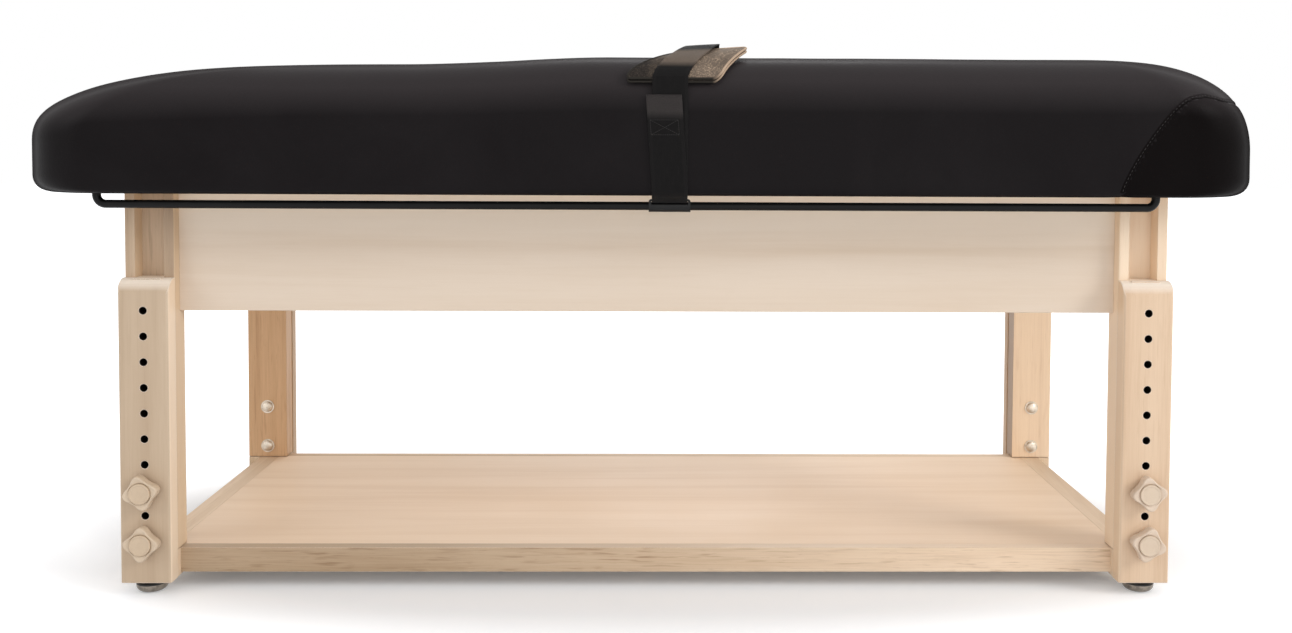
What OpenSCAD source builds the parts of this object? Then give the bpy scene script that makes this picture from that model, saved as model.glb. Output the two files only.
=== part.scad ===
// Height-adjustable wooden stretching table: an upholstered top on an apron frame whose four
// grooved posts slide on tongued outer legs and are set by bolts and star knobs in rows of holes.
// Millimetres. +X runs along the table, -Y is the front, +Z is up. The origin is on the floor,
// under the middle of the top.

/* [Wooden frame] */
// Length of the frame over the outer legs
frame_length = 1561; // [1400:1:1640]
// Depth of the frame over the outer legs
frame_depth = 635; // [580:1:660]
// How far the frame's middle lies to the right of the top's middle
frame_shift = 6; // [0:0.5:15]
// Gap between pieces that slide on each other
slide_gap = 0.4; // [0.2:0.05:0.6]

/* [Outer legs] */
// Width of an outer leg
leg_w = 75; // [66:0.5:84]
// Thickness of an outer leg's board
leg_t = 25.4; // [22:0.2:30]
// Length of an outer leg
leg_l = 452; // [430:1:500]
// Radius along an outer leg's long front edges
leg_edge_r = 4; // [2:0.5:8]
// Radius that rounds an outer leg's top front edge
leg_top_r = 23; // [14:0.5:24]
// Width of the tongue on an outer leg's back
tongue_w = 42.2; // [34:0.2:48]
// How far the tongue stands out of the board
tongue_d = 27.6; // [20:0.2:30]
// Bevel at the tongue's top edges
tongue_bevel = 2; // [1:0.5:4]

/* [Height holes] */
// Number of holes in an outer leg
hole_count = 10; // [8:1:10]
// Distance from one hole to the next
hole_pitch = 38.1; // [34:0.1:39]
// Diameter of a hole
hole_d = 11.1; // [10.6:0.1:13]
// Height of the lowest hole over an outer leg's lower end
low_hole_up = 62.8; // [58:0.1:68]
// Number of pitches between the two bolts of a leg
bolt_steps = 2; // [2:1:3]

/* [Inner posts] */
// Depth of a post
post_d = 37.7; // [36:0.1:44]
// Length of a post
post_l = 540.4; // [520:0.1:580]
// How much narrower than the leg a post is, on each side
post_step = 1; // [0.5:0.25:2]
// Radius along a post's long front edges
post_edge_r = 2; // [1:0.25:3]
// Gap under a post at its lowest
post_gap = 1.2; // [0.8:0.1:3]

/* [Aprons] */
// Height of an apron
apron_h = 182.4; // [150:0.2:220]
// Thickness of an apron
apron_t = 18; // [15:0.5:18]
// Number of braces across, under the deck
brace_count = 3; // [2:1:5]
// Width of a brace
brace_w = 38; // [30:1:45]
// Height of a brace
brace_h = 60; // [45:1:90]

/* [Shelf] */
// Height of the shelf's rails
shelf_rail_h = 37; // [32:0.5:48]
// How far a rail's lower edge is above an outer leg's lower end
shelf_rail_up = 3.8; // [2:0.2:10]
// Width of the front and rear rails' tops
long_rail_w = 19; // [16:0.5:24]
// How far the front rail's face is behind the legs' front
long_rail_back = 38; // [34:0.5:42]
// Width of the side rails' tops
side_rail_w = 35; // [28:0.5:42]
// How far a side rail is set out from a foot block's inner face
side_rail_out = 16; // [12:0.5:24]
// Thickness of the shelf panel
panel_t = 12; // [9:0.5:18]
// Width of the ledge that the panel rests on
ledge_w = 8; // [6:0.5:12]
// Gap round the panel
panel_gap = 0.4; // [0.2:0.1:1]
// Radius along the rails' outer edges
rail_edge_r = 2; // [1:0.25:4]

/* [Levelling feet] */
// Height of a foot when it is screwed right in
foot_h = 22; // [20:0.5:28]
// Diameter of a foot's cup
cup_d = 46; // [40:0.5:50]
// Diameter of the flat under a foot
foot_flat_d = 24; // [18:0.5:28]
// Diameter of the ring between cup and leg
ring_d = 43; // [36:0.5:46]
// Thickness of that ring
ring_t = 4.4; // [3:0.2:6]
// Diameter of a foot's screw
foot_screw_d = 9.8; // [8:0.1:12]
// Length of a foot's screw over its cup
foot_screw_l = 34; // [26:1:36]
// How far a foot is set out from the middle of its leg
foot_out = 5; // [0:0.5:8]
// How far a foot's middle is behind the leg's face
foot_back = 36; // [35:0.5:42]
// Diameter of the threaded insert for a foot's screw
insert_d = 14; // [13:0.2:17]
// Length of that insert
insert_l = 22; // [15:0.5:26]

/* [Leg bolts and knobs] */
// Diameter of a leg bolt
bolt_d = 9.5; // [8:0.1:9.8]
// Diameter of a bolt's domed head
bolt_head_d = 20.6; // [18:0.1:22]
// Height of that head
bolt_head_h = 4.8; // [4:0.1:6]
// Diameter of a bolt's washer
washer_d = 25.4; // [23:0.2:28]
// Thickness of that washer
washer_t = 1.6; // [1.2:0.1:2.4]
// Size of a knob over two opposite lobes
knob_d = 52; // [46:0.5:58]
// Size of a knob across its hollows
knob_waist = 39; // [34:0.5:44]
// Thickness of a knob's star
knob_t = 15; // [12:0.5:18]
// Diameter of the hub behind the star
knob_hub_d = 26; // [22:0.5:32]
// Length of that hub
knob_hub_l = 6; // [4:0.5:9]
// Diameter of the round cap in a knob's face
knob_cap_d = 31; // [26:0.5:34]
// How far the cap stands proud
knob_cap_h = 1.6; // [1:0.1:3]
// Gap between a knob and the leg
knob_gap = 0.3; // [0.3:0.05:0.6]

/* [Top] */
// How far each end of the upholstered top reaches beyond the outer legs
end_overhang = 130.5; // [110:0.5:160]
// How far the top's long edges reach beyond the outer legs
side_overhang = 63.5; // [52:0.5:72]
// Height of the top's upholstery
top_h = 206; // [180:0.2:225]
// Plan radius of the top's corners
corner_r = 114.5; // [90:0.5:150]
// How much the top rises from its shoulders to its middle
crown = 4; // [2:0.5:8]
// How much lower the top is where its left end begins to fall
left_sag = 12.5; // [4:0.1:20]
// Reach of the front and rear shoulders
side_roll = 95; // [70:1:120]
// Height of the front and rear shoulders
side_roll_h = 86; // [70:1:110]
// Reach of the left end's shoulder
left_roll = 420; // [300:5:440]
// Height of the left end's shoulder
left_roll_h = 124.5; // [100:0.5:150]
// Reach of the right end's shoulder
right_roll = 164.5; // [140:0.5:260]
// Height of the right end's shoulder
right_roll_h = 137.5; // [110:0.5:155]
// How much the ends bow outwards in plan
end_bow = 4; // [2:0.5:10]
// Radius that draws the long sides in at the bottom
side_tuck = 10; // [8:0.5:12]
// Radius that draws the ends in at the bottom
end_tuck = 26; // [18:0.5:34]
// Thickness of the cover
cover_t = 2; // [1.6:0.1:3]
// Width of the hem under the deck
hem_w = 45; // [35:1:55]
// Thickness of the deck
deck_t = 18; // [15:0.5:24]
// How far the deck's long edges are inside the top
deck_in_side = 13.5; // [12.5:0.25:15]
// Plan radius of the deck's corners
deck_corner_r = 105; // [95:1:115]
// How far the deck's ends are inside the top
deck_in_end = 34; // [28:1:45]

/* [Strap rails] */
// Diameter of a rail's rod
rod_d = 12; // [10:0.2:14]
// Length of a rail between its uprights
rod_l = 1524; // [1300:1:1560]
// How far the rails' middle lies to the left of the top's middle
rod_shift = 22; // [0:1:40]
// How far a rod's middle is inside the top's edge
rod_in = 23.5; // [22:0.5:32]
// How far a rod's middle is under the deck
rod_drop = 17.4; // [15.5:0.1:24]
// Radius of a rod's bends
rod_bend_r = 13; // [11:0.5:14]
// How deep an upright goes into the deck
rod_seat = 14; // [8:0.5:14.5]

/* [Strap] */
// Width of the webbing
strap_w = 51; // [38:1:60]
// Thickness of the webbing
strap_t = 1.6; // [1.2:0.1:2.2]
// Where the webbing's middle crosses the front edge, right of the top's middle
strap_x = 36; // [-60:1:90]
// How far the webbing shifts to the right as it crosses the pad
strap_skew = 48; // [0:1:60]
// How far the sewn end leans to the left
strap_lean = 9; // [0:1:15]
// Clearance between the webbing and what it lies on
strap_gap = 0.8; // [0.6:0.05:1]
// Width of the hooks that hold the webbing on the rails
hook_w = 60; // [56:1:70]
// Thickness of a hook's plate
hook_t = 2.2; // [1.6:0.1:2.6]
// How far a hook's plate stands up over the middle of its rail
hook_up = 10.5; // [10:0.1:11.5]
// Height of the bar over a hook's slot
hook_bar_h = 3.5; // [3:0.1:4]
// Corner radius of a hook's plate
hook_corner_r = 4; // [2:0.5:5]
// Height of the sewn end over the top's lower face
sewn_up = 113; // [80:1:115]
// Width of the pad
pad_w = 136; // [100:1:160]
// Length of the pad, front to back, in plan
pad_l = 76; // [60:1:90]
// Thickness of one of the pad's two layers
pad_t = 4.5; // [3:0.25:6]
// How far the pad shifts to the right from front to back
pad_skew = 46; // [0:1:60]
// How far the pad's left front corner is to the right of the top's middle
pad_x = -30; // [-60:1:10]

/* [Hidden] */

$fn = 48;

// One overrun serves every cut.
over = 1;

// Size of the top.
top_length = frame_length + 2 * end_overhang;
top_depth = frame_depth + 2 * side_overhang;

// Heights of the stack, from the floor up.
leg_top_z = foot_h + leg_l;
rail_z = foot_h + shelf_rail_up;
shelf_z = rail_z + shelf_rail_h;
post_z = shelf_z + post_gap;
deck_z = post_z + post_l;
top_z = deck_z - cover_t;

// Places across the frame.
leg_x = frame_length / 2 - leg_w / 2;
post_w = leg_w - 2 * post_step;
post_y = leg_t + slide_gap;
leg_depth = post_y + post_d;
groove_w = tongue_w + 2 * slide_gap;
inner_x = leg_x - post_w / 2;
inner_y = frame_depth / 2 - leg_depth;
low_hole_z = foot_h + low_hole_up;
high_bolt_z = low_hole_z + bolt_steps * hole_pitch;

// Fit of the bolts: free in the wood, close in the knobs.
bolt_room = 0.3;
knob_fit = 0.05;
bolt_in_knob = 13;
thread_room = 0.5;
washer_room = 0.2;

// Clearance round the screw of a foot.
foot_fit = 0.1;
foot_hole_room = 0.6;
insert_flange_d = 20;
insert_flange_t = 1.5;
cup_lip_share = 0.55;
cup_round = 3;

// Thickness of the felt-thin gap between a foot's ring and its leg.
ring_gap = 0.3;

// Wood colours.
maple = [0.86, 0.75, 0.60];
maple_edge = [0.82, 0.69, 0.53];

// Puts a piece drawn for one corner in its place: side -1 is left, face -1 is the front.
// In the drawing x points inwards along the table and y inwards from the legs' face.
module at_corner(side, face)
    translate([frame_shift + side * leg_x, face * frame_depth / 2, 0])
        mirror([side > 0 ? 1 : 0, 0, 0])
            mirror([0, face > 0 ? 1 : 0, 0])
                children();

// Puts a piece drawn for the front in its place on that face.
module at_face(face)
    mirror([0, face > 0 ? 1 : 0, 0])
        children();

// A rectangle centred on x with its two corners at y = 0 rounded.
module round_front(w, d, r) {
    translate([-w / 2, r])
        square([w, d - r]);
    translate([r - w / 2, 0])
        square([w - 2 * r, d]);
    for (side = [-1, 1])
        translate([side * (w / 2 - r), r])
            circle(r);
}

// A centred rectangle with four round corners.
module round_slab(l, w, r) {
    square([l, w - 2 * r], center = true);
    square([l - 2 * r, w], center = true);
    for (sx = [-1, 1], sy = [-1, 1])
        translate([sx * (l / 2 - r), sy * (w / 2 - r)])
            circle(r);
}

// A bore along y from the drawing's face inwards.
module bore_y(d, y, l)
    translate([0, y, 0])
        rotate([-90, 0, 0])
            cylinder(d = d, h = l);

// Outer legs.

// The side view of an outer leg's board, drawn on y and z and run along x.
module leg_side_view()
    translate([leg_w / 2 + over, 0, 0])
        rotate([0, -90, 0])
            linear_extrude(leg_w + 2 * over) {
                translate([foot_h, 0])
                    square([leg_l - leg_top_r, leg_t]);
                translate([foot_h, leg_top_r])
                    square([leg_l, leg_t - leg_top_r]);
                translate([leg_top_z - leg_top_r, leg_top_r])
                    circle(leg_top_r);
            }

// The tongue starts inside the board that carries it.
module tongue()
    translate([-tongue_w / 2, leg_t / 2, shelf_z])
        difference() {
            cube([tongue_w, leg_t / 2 + tongue_d, leg_top_z - shelf_z]);
            translate([-over, leg_t / 2 + tongue_d, leg_top_z - shelf_z - tongue_bevel])
                rotate([45, 0, 0])
                    cube([tongue_w + 2 * over, 2 * tongue_bevel, 2 * tongue_bevel]);
        }

module outer_leg(side, face)
    color(maple)
        at_corner(side, face)
            difference() {
                union() {
                    intersection() {
                        translate([0, 0, foot_h])
                            linear_extrude(leg_l)
                                round_front(leg_w, leg_t, leg_edge_r);
                        leg_side_view();
                    }
                    tongue();
                }
                for (step = [0 : hole_count - 1])
                    translate([0, 0, low_hole_z + step * hole_pitch])
                        bore_y(hole_d, -over, leg_t + tongue_d + 2 * over);
            }

module foot_block(side, face)
    color(maple_edge)
        at_corner(side, face)
            difference() {
                translate([-post_w / 2, leg_t, foot_h])
                    cube([post_w, leg_depth - leg_t, shelf_z - foot_h]);
                translate([-foot_out, foot_back, foot_h - over]) {
                    cylinder(d = insert_d, h = insert_l + over);
                    cylinder(d = insert_flange_d, h = insert_flange_t + over);
                    cylinder(d = foot_screw_d + 2 * foot_hole_room,
                             h = foot_screw_l + thread_room + 2 * over);
                }
            }

// Shelf.

// The section of a front rail, drawn on y and z, with its ledge for the panel behind.
module long_rail(face)
    color(maple)
        at_face(face)
            translate([frame_shift - inner_x, -frame_depth / 2 + long_rail_back, rail_z])
                difference() {
                    cube([2 * inner_x, long_rail_w + ledge_w, shelf_rail_h]);
                    translate([-over, long_rail_w, shelf_rail_h - panel_t])
                        cube([2 * inner_x + 2 * over, ledge_w + over, panel_t + over]);
                }

module side_rail(side)
    color(maple)
        translate([frame_shift, 0, rail_z])
            mirror([side < 0 ? 1 : 0, 0, 0])
                translate([inner_x + side_rail_out - ledge_w, -inner_y, 0])
                    difference() {
                        cube([side_rail_w + ledge_w, 2 * inner_y, shelf_rail_h]);
                        translate([-over, -over, shelf_rail_h - panel_t])
                            cube([ledge_w + over, 2 * inner_y + 2 * over, panel_t + over]);
                    }

module shelf_panel() {
    half_l = inner_x + side_rail_out - panel_gap;
    half_d = frame_depth / 2 - long_rail_back - long_rail_w - panel_gap;
    notch_l = side_rail_out + panel_gap;
    notch_d = half_d - inner_y + panel_gap;
    color([0.90, 0.81, 0.69])
        translate([frame_shift, 0, shelf_z - panel_t])
            difference() {
                translate([-half_l, -half_d, 0])
                    cube([2 * half_l, 2 * half_d, panel_t]);
                for (side = [-1, 1], face = [-1, 1])
                    translate([side * half_l - notch_l, face * half_d - notch_d, -over])
                        cube([2 * notch_l, 2 * notch_d, panel_t + 2 * over]);
            }
}

// Levelling feet.

module foot_inserts()
    color("silver")
        for (side = [-1, 1], face = [-1, 1])
            at_corner(side, face)
                translate([-foot_out, foot_back, foot_h])
                    difference() {
                        union() {
                            cylinder(d = insert_d, h = insert_l);
                            cylinder(d = insert_flange_d, h = insert_flange_t);
                        }
                        translate([0, 0, -over])
                            cylinder(d = foot_screw_d + 2 * foot_fit, h = insert_l + 2 * over);
                    }

// The cup is turned: a flat below, a rounded flank and a narrow lip under the ring.
module foot(side, face) {
    cup_h = foot_h - ring_t - ring_gap;
    lip_z = cup_h * cup_lip_share;
    color("silver")
        at_corner(side, face)
            translate([-foot_out, foot_back, 0]) {
                rotate_extrude()
                    polygon([
                        [0, 0],
                        [foot_flat_d / 2, 0],
                        for (a = [0 : 15 : 90])
                            [foot_flat_d / 2 + (cup_d - foot_flat_d) / 2 * sin(a),
                             lip_z * (1 - cos(a))],
                        [cup_d / 2, cup_h - cup_round],
                        [cup_d / 2 - cup_round, cup_h],
                        [0, cup_h],
                    ]);
                translate([0, 0, lip_z])
                    cylinder(d = foot_screw_d, h = cup_h - lip_z + foot_screw_l);
            }
}

module foot_ring(side, face)
    color([0.06, 0.06, 0.06])
        at_corner(side, face)
            translate([-foot_out, foot_back, foot_h - ring_t - ring_gap])
                difference() {
                    cylinder(d = ring_d, h = ring_t);
                    translate([0, 0, -over])
                        cylinder(d = foot_screw_d + 2 * foot_fit, h = ring_t + 2 * over);
                }

// Posts and aprons.

module inner_post(side, face)
    color(maple)
        at_corner(side, face)
            translate([0, post_y, 0])
                difference() {
                    translate([0, 0, post_z])
                        linear_extrude(post_l)
                            round_front(post_w, post_d, post_edge_r);
                    translate([-groove_w / 2, -over, post_z - over])
                        cube([groove_w, tongue_d + over, post_l + 2 * over]);
                    for (z = [low_hole_z, high_bolt_z])
                        translate([0, 0, z])
                            bore_y(bolt_d + 2 * bolt_room, tongue_d - over,
                                   post_d - tongue_d + 2 * over);
                }

module long_apron(face)
    color([0.85, 0.77, 0.67])
        at_face(face)
            translate([frame_shift - inner_x, -inner_y - apron_t, deck_z - apron_h])
                cube([2 * inner_x, apron_t, apron_h]);

module end_apron(side)
    color(maple)
        translate([frame_shift + side * leg_x - apron_t / 2, -inner_y, deck_z - apron_h])
            cube([apron_t, 2 * inner_y, apron_h]);

module deck_braces()
    color(maple_edge)
        for (i = [1 : brace_count])
            translate([frame_shift - inner_x + i * 2 * inner_x / (brace_count + 1) - brace_w / 2,
                       -inner_y, deck_z - brace_h])
                cube([brace_w, 2 * inner_y, brace_h]);

// Deck and upholstery.

module deck_outline(l_in, w_in)
    round_slab(top_length - 2 * l_in, top_depth - 2 * w_in, deck_corner_r);

module deck()
    color([0.80, 0.68, 0.50])
        translate([0, 0, deck_z])
            difference() {
                linear_extrude(deck_t)
                    deck_outline(deck_in_end, deck_in_side);
                for (face = [-1, 1], end = [-1, 1])
                    translate([end * rod_l / 2 - rod_shift, face * rod_y, -over])
                        cylinder(d = rod_d + 2 * rod_fit, h = rod_seat + rod_fit + over);
            }

// The upholstered form is a stack of rounded outlines. At height h over its lower face each
// outline is drawn in at the ends and the long sides by a tuck below and a shoulder above.
// The stack is then lowered towards the left, where the top slopes away.
sag_start_share = -0.025;
sag_end_share = -0.193;
corner_growth_share = 0.02;
corner_cap_share = 0.85;
crown_reach = 220;
left_roll_power = 2.4;
right_roll_power = 2.15;

function tuck_in(h, r) = h >= r ? 0 : r - sqrt(r * r - (r - h) * (r - h));

function roll_in(h, full_h, reach, reach_h, power) =
    h <= full_h - reach_h ? 0 :
    reach * (1 - pow(max(0, 1 - pow((h - full_h + reach_h) / reach_h, power)), 1 / power));

// Each level is [height over the lower face, how far the crown has closed in].
function levels(tuck_steps, side_steps, roll_steps, crown_steps, full_h) =
    let (shoulder = max(side_roll_h, left_roll_h, right_roll_h))
    [
        for (i = [0 : tuck_steps]) [end_tuck * (1 - cos(90 * i / tuck_steps)), 0],
        for (i = [1 : side_steps])
            [end_tuck + (full_h - shoulder - end_tuck) * i / side_steps, 0],
        for (i = [1 : roll_steps])
            [full_h - shoulder + shoulder * sin(90 * i / roll_steps), 0],
        for (i = [1 : crown_steps])
            [full_h + crown * sin(90 * i / crown_steps), i / crown_steps],
    ];

// How much of the full height the top keeps at a place along its length.
function keep(x) =
    let (a = sag_start_share * top_length, b = sag_end_share * top_length,
         t = min(1, max(0, (a - x) / (a - b))))
    1 - left_sag / top_h * t * t * (3 - 2 * t);

// One outline, from the middle of the right end round by the rear.
function outline(h, c, full_h, inset, corner_steps, long_steps, end_steps) =
    let (
        level = min(h, full_h),
        left = tuck_in(level, end_tuck)
             + roll_in(level, full_h, left_roll, left_roll_h, left_roll_power) + c * crown_reach,
        right = tuck_in(level, end_tuck)
              + roll_in(level, full_h, right_roll, right_roll_h, right_roll_power) + c * crown_reach,
        side = tuck_in(level, side_tuck) + roll_in(level, full_h, side_roll, side_roll_h, 2)
             + c * (top_depth / 2 - side_roll - corner_r / 2),
        w = top_depth / 2 - side - inset,
        xr = top_length / 2 - end_bow - right - inset,
        xl = top_length / 2 - end_bow - left - inset,
        ry = min(corner_r - inset + corner_growth_share * side, corner_cap_share * w),
        rr = corner_r - inset + corner_growth_share * (right - c * crown_reach),
        rl = corner_r - inset + corner_growth_share * (left - c * crown_reach),
        rear = [
            for (i = [0 : end_steps - 1])
                [xr + end_bow * (1 - pow(i / end_steps, 2)), (w - ry) * i / end_steps],
            for (i = [0 : corner_steps - 1])
                [xr - rr + rr * cos(90 * i / corner_steps),
                 w - ry + ry * sin(90 * i / corner_steps)],
            for (i = [0 : long_steps])
                [(xr - rr) + (rl - xl - xr + rr) * i / long_steps, w],
            for (i = [1 : corner_steps])
                [rl - xl - rl * sin(90 * i / corner_steps),
                 w - ry + ry * cos(90 * i / corner_steps)],
            for (i = [1 : end_steps])
                [-xl - end_bow * (1 - pow(1 - i / end_steps, 2)), (w - ry) * (1 - i / end_steps)],
        ],
        last = len(rear) - 1
    )
    concat(rear, [for (i = [last - 1 : -1 : 1]) [rear[i][0], -rear[i][1]]]);

// A closed form: rings of points joined by triangles, with strips across both caps.
module upholstered_form(inset, bottom, steps) {
    full_h = top_h - crown;
    lv = levels(steps[0], steps[1], steps[2], steps[3], full_h);
    rings = [for (l = lv) outline(l[0], l[1], full_h, inset, steps[4], steps[5], steps[6])];
    n = len(rings[0]);
    m = len(rings);
    half = n / 2;
    shrink = (top_h - inset - bottom) / top_h;
    points = [
        for (k = [0 : m - 1], p = rings[k])
            [p[0], p[1], top_z + bottom + lv[k][0] * shrink * keep(p[0])]
    ];
    sides = [
        for (k = [0 : m - 2], i = [0 : n - 1])
            let (a = k * n + i, b = k * n + (i + 1) % n, c = a + n, d = b + n)
            each [[a, c, b], [b, c, d]]
    ];
    caps = [
        for (i = [0 : half - 1])
            let (j = (n - i) % n, k = (n - i - 1) % n, t = (m - 1) * n)
            each [
                if (i > 0) [i, i + 1, j],
                if (i < half - 1) [i + 1, k, j],
                if (i > 0) [t + i, t + j, t + i + 1],
                if (i < half - 1) [t + i + 1, t + j, t + k],
            ]
    ];
    polyhedron(points, concat(sides, caps), convexity = 4);
}

outer_steps = [4, 1, 10, 2, 6, 10, 2];
inner_steps = [2, 1, 5, 2, 3, 10, 1];
foam_gap = 0.3;

module cushion_cover()
    color([0.13, 0.12, 0.12])
        difference() {
            upholstered_form(0, 0, outer_steps);
            upholstered_form(cover_t, cover_t, inner_steps);
            translate([0, 0, top_z - over])
                linear_extrude(cover_t + 2 * over)
                    round_slab(top_length - 2 * (hem_w + end_tuck), top_depth - 2 * hem_w,
                               corner_r - hem_w);
            translate([0, 0, deck_z - over])
                linear_extrude(deck_t + over)
                    deck_outline(deck_in_end - foam_gap, deck_in_side - foam_gap);
            for (face = [-1, 1], end = [-1, 1])
                translate([end * rod_l / 2 - rod_shift, face * rod_y, top_z - over])
                    cylinder(d = rod_d + 2 * rod_fit, h = cover_t + 2 * over);
        }

module foam_core()
    color([0.80, 0.78, 0.70])
        difference() {
            upholstered_form(cover_t + foam_gap, cover_t + foam_gap, inner_steps);
            translate([0, 0, deck_z - over])
                linear_extrude(deck_t + over)
                    deck_outline(deck_in_end - foam_gap, deck_in_side - foam_gap);
        }

// Strap rails.

rod_fit = 0.3;
rod_y = top_depth / 2 - rod_in;
rod_z = deck_z - rod_drop;

module rod_upright(end)
    translate([end * rod_l / 2, 0, rod_bend_r])
        cylinder(d = rod_d, h = rod_drop + rod_seat - rod_bend_r);

module rod_bend(end)
    translate([end * (rod_l / 2 - rod_bend_r), 0, rod_bend_r])
        mirror([end < 0 ? 1 : 0, 0, 0])
            rotate([90, 0, 0])
                rotate([0, 0, -90])
                    rotate_extrude(angle = 90)
                        translate([rod_bend_r, 0])
                            circle(d = rod_d);

module strap_rail(face)
    color([0.07, 0.07, 0.07])
        translate([-rod_shift, face * rod_y, rod_z]) {
            translate([rod_bend_r - rod_l / 2, 0, 0])
                rotate([0, 90, 0])
                    cylinder(d = rod_d, h = rod_l - 2 * rod_bend_r);
            for (end = [-1, 1]) {
                rod_bend(end);
                rod_upright(end);
            }
        }

// Bolts, washers and knobs.

module at_bolts()
    for (side = [-1, 1], face = [-1, 1], z = [low_hole_z, high_bolt_z])
        at_corner(side, face)
            translate([0, 0, z])
                children();

module leg_bolts()
    color("silver")
        at_bolts() {
            bore_y(bolt_d, -knob_gap - bolt_in_knob,
                   leg_depth + washer_t + knob_gap + bolt_in_knob + bolt_head_h / 2);
            translate([0, leg_depth + washer_t, 0])
                rotate([-90, 0, 0])
                    rotate_extrude()
                        polygon([
                            [0, 0],
                            [bolt_head_d / 2, 0],
                            for (a = [15 : 15 : 90])
                                [bolt_head_d / 2 * cos(a), bolt_head_h * sin(a)],
                        ]);
        }

module bolt_washers()
    color("silver")
        at_bolts()
            translate([0, leg_depth, 0])
                rotate([-90, 0, 0])
                    difference() {
                        cylinder(d = washer_d, h = washer_t);
                        translate([0, 0, -over])
                            cylinder(d = bolt_d + 2 * washer_room, h = washer_t + 2 * over);
                    }

// The star is a closed wave round a circle, cut by a turned dome that rounds its lobes.
star_points = 48;
lobes = 4;
dome_edge_share = 0.62;
dome_step = 0.4;

module star_outline() {
    mid = (knob_d + knob_waist) / 4;
    wave = (knob_d - knob_waist) / 4;
    polygon([
        for (i = [0 : star_points - 1])
            let (a = 360 * i / star_points, r = mid + wave * cos(lobes * a))
            [r * cos(a), r * sin(a)]
    ]);
}

module knob_dome()
    rotate_extrude()
        polygon([
            [0, 0],
            [knob_d / 2 - dome_step, 0],
            [knob_d / 2, knob_t * (1 - dome_edge_share)],
            for (a = [15 : 15 : 90])
                [knob_cap_d / 2 + (knob_d - knob_cap_d) / 2 * cos(a),
                 knob_t * (1 - dome_edge_share) + knob_t * dome_edge_share * sin(a)],
            [0, knob_t],
        ]);

// Drawn with its hub towards +y, and turned about its bolt by the given angle.
module knob(side, face, z, turn)
    color([0.85, 0.78, 0.66])
        at_corner(side, face)
            translate([0, -knob_gap, z])
                rotate([90, 0, 0])
                    rotate([0, 0, turn])
                        difference() {
                            union() {
                                cylinder(d = knob_hub_d, h = knob_hub_l + over);
                                translate([0, 0, knob_hub_l]) {
                                    intersection() {
                                        linear_extrude(knob_t)
                                            star_outline();
                                        knob_dome();
                                    }
                                    cylinder(d = knob_cap_d, h = knob_t + knob_cap_h);
                                }
                            }
                            translate([0, 0, -over])
                                cylinder(d = bolt_d + 2 * knob_fit,
                                         h = bolt_in_knob + thread_room + over);
                        }

// Strap and pad.

// The webbing's run is drawn on y and z round circles. A circle is [y, z, signed radius], with a
// positive radius where the run turns left. A heading is the tangent from one to the next.
loop_gap = 0.4;
hook_gap = 0.4;
hook_slot_h = 4.6;
hook_slot_room = 1;
hook_lip_up = 3;
arc_step = 12;
pad_gap = 0.8;
pad_seam = 0.3;
pad_front_in = 6.5;
pad_nose = 12;
pad_tail = 8;
strap_arch = 3;
strap_land = 48;
land_shares = [[0.15, 0.95], [0.4, 0.6], [0.7, 0.15], [1, 0]];
arch_start_share = 0.6;
pad_slope_step = 0.02;
pad_edge_share = 0.45;
pad_u_shares = [0, 0.05, 0.25, 0.5, 0.75, 0.95, 1];
pad_v_shares = [0, 0.06, 0.2, 0.4, 0.6, 0.8, 0.94, 1];

function heading(a, b) =
    let (v = [b[0] - a[0], b[1] - a[1]])
    atan2(v[1], v[0]) - asin((b[2] - a[2]) / norm(v));

function on_circle(c, a) = [c[0] + c[2] * sin(a), c[1] - c[2] * cos(a)];

function arc(c, from, to) =
    let (
        span = c[2] > 0 ? to - from : from - to,
        turn = span - 360 * floor(span / 360),
        n = max(1, ceil(turn / arc_step)),
        way = c[2] > 0 ? 1 : -1
    )
    [for (i = [0 : n]) on_circle(c, from + way * turn * i / n)];

// The top's surface at a place, over its shoulders and its middle.
function surface_z(x, y) =
    let (flat = top_depth / 2 - side_roll, d = abs(y) - flat,
         rise = d > 0
            ? -side_roll_h * (1 - sqrt(max(0, 1 - pow(d / side_roll, 2))))
            : crown * sin(90 * min(1, -d / (flat - corner_r / 2))))
    top_z + (top_h - crown + rise) * keep(x);

lay = strap_gap + strap_t / 2;
corner_y = side_tuck - top_depth / 2;
corner_z = top_z + side_tuck;
roll_round = side_roll_h * side_roll_h / side_roll;
pad_front_y = pad_front_in - top_depth / 2;

function pad_at(u, v) = pad_x + pad_w * u + pad_skew * v;
function pad_y(v) = pad_front_y + pad_l * v;
function pad_stand(v) = pad_gap + pad_nose * pow(1 - v, 3);
function pad_under(u, v) =
    surface_z(pad_at(u, v), pad_y(v)) + pad_stand(v) + pad_tail * u * v * v;

// The webbing's middle, and its right edge, which lies on the higher ground.
function strap_at(v) = strap_x + strap_skew * v;
function strap_edge(v) = strap_at(v) + strap_w / 2;
function pad_top(v) =
    [pad_y(v), surface_z(strap_edge(v), pad_y(v)) + pad_stand(v) + 2 * pad_t + pad_seam];
function pad_slope(v) =
    let (a = pad_top(v - pad_slope_step), b = pad_top(v + pad_slope_step))
    atan2(b[1] - a[1], b[0] - a[0]);
function arch(v) = strap_arch * max(0, v - arch_start_share) / (1 - arch_start_share);
function on_pad(v) =
    let (a = pad_slope(v))
    pad_top(v) + [-lay * sin(a), lay * cos(a) + arch(v)];

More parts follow.
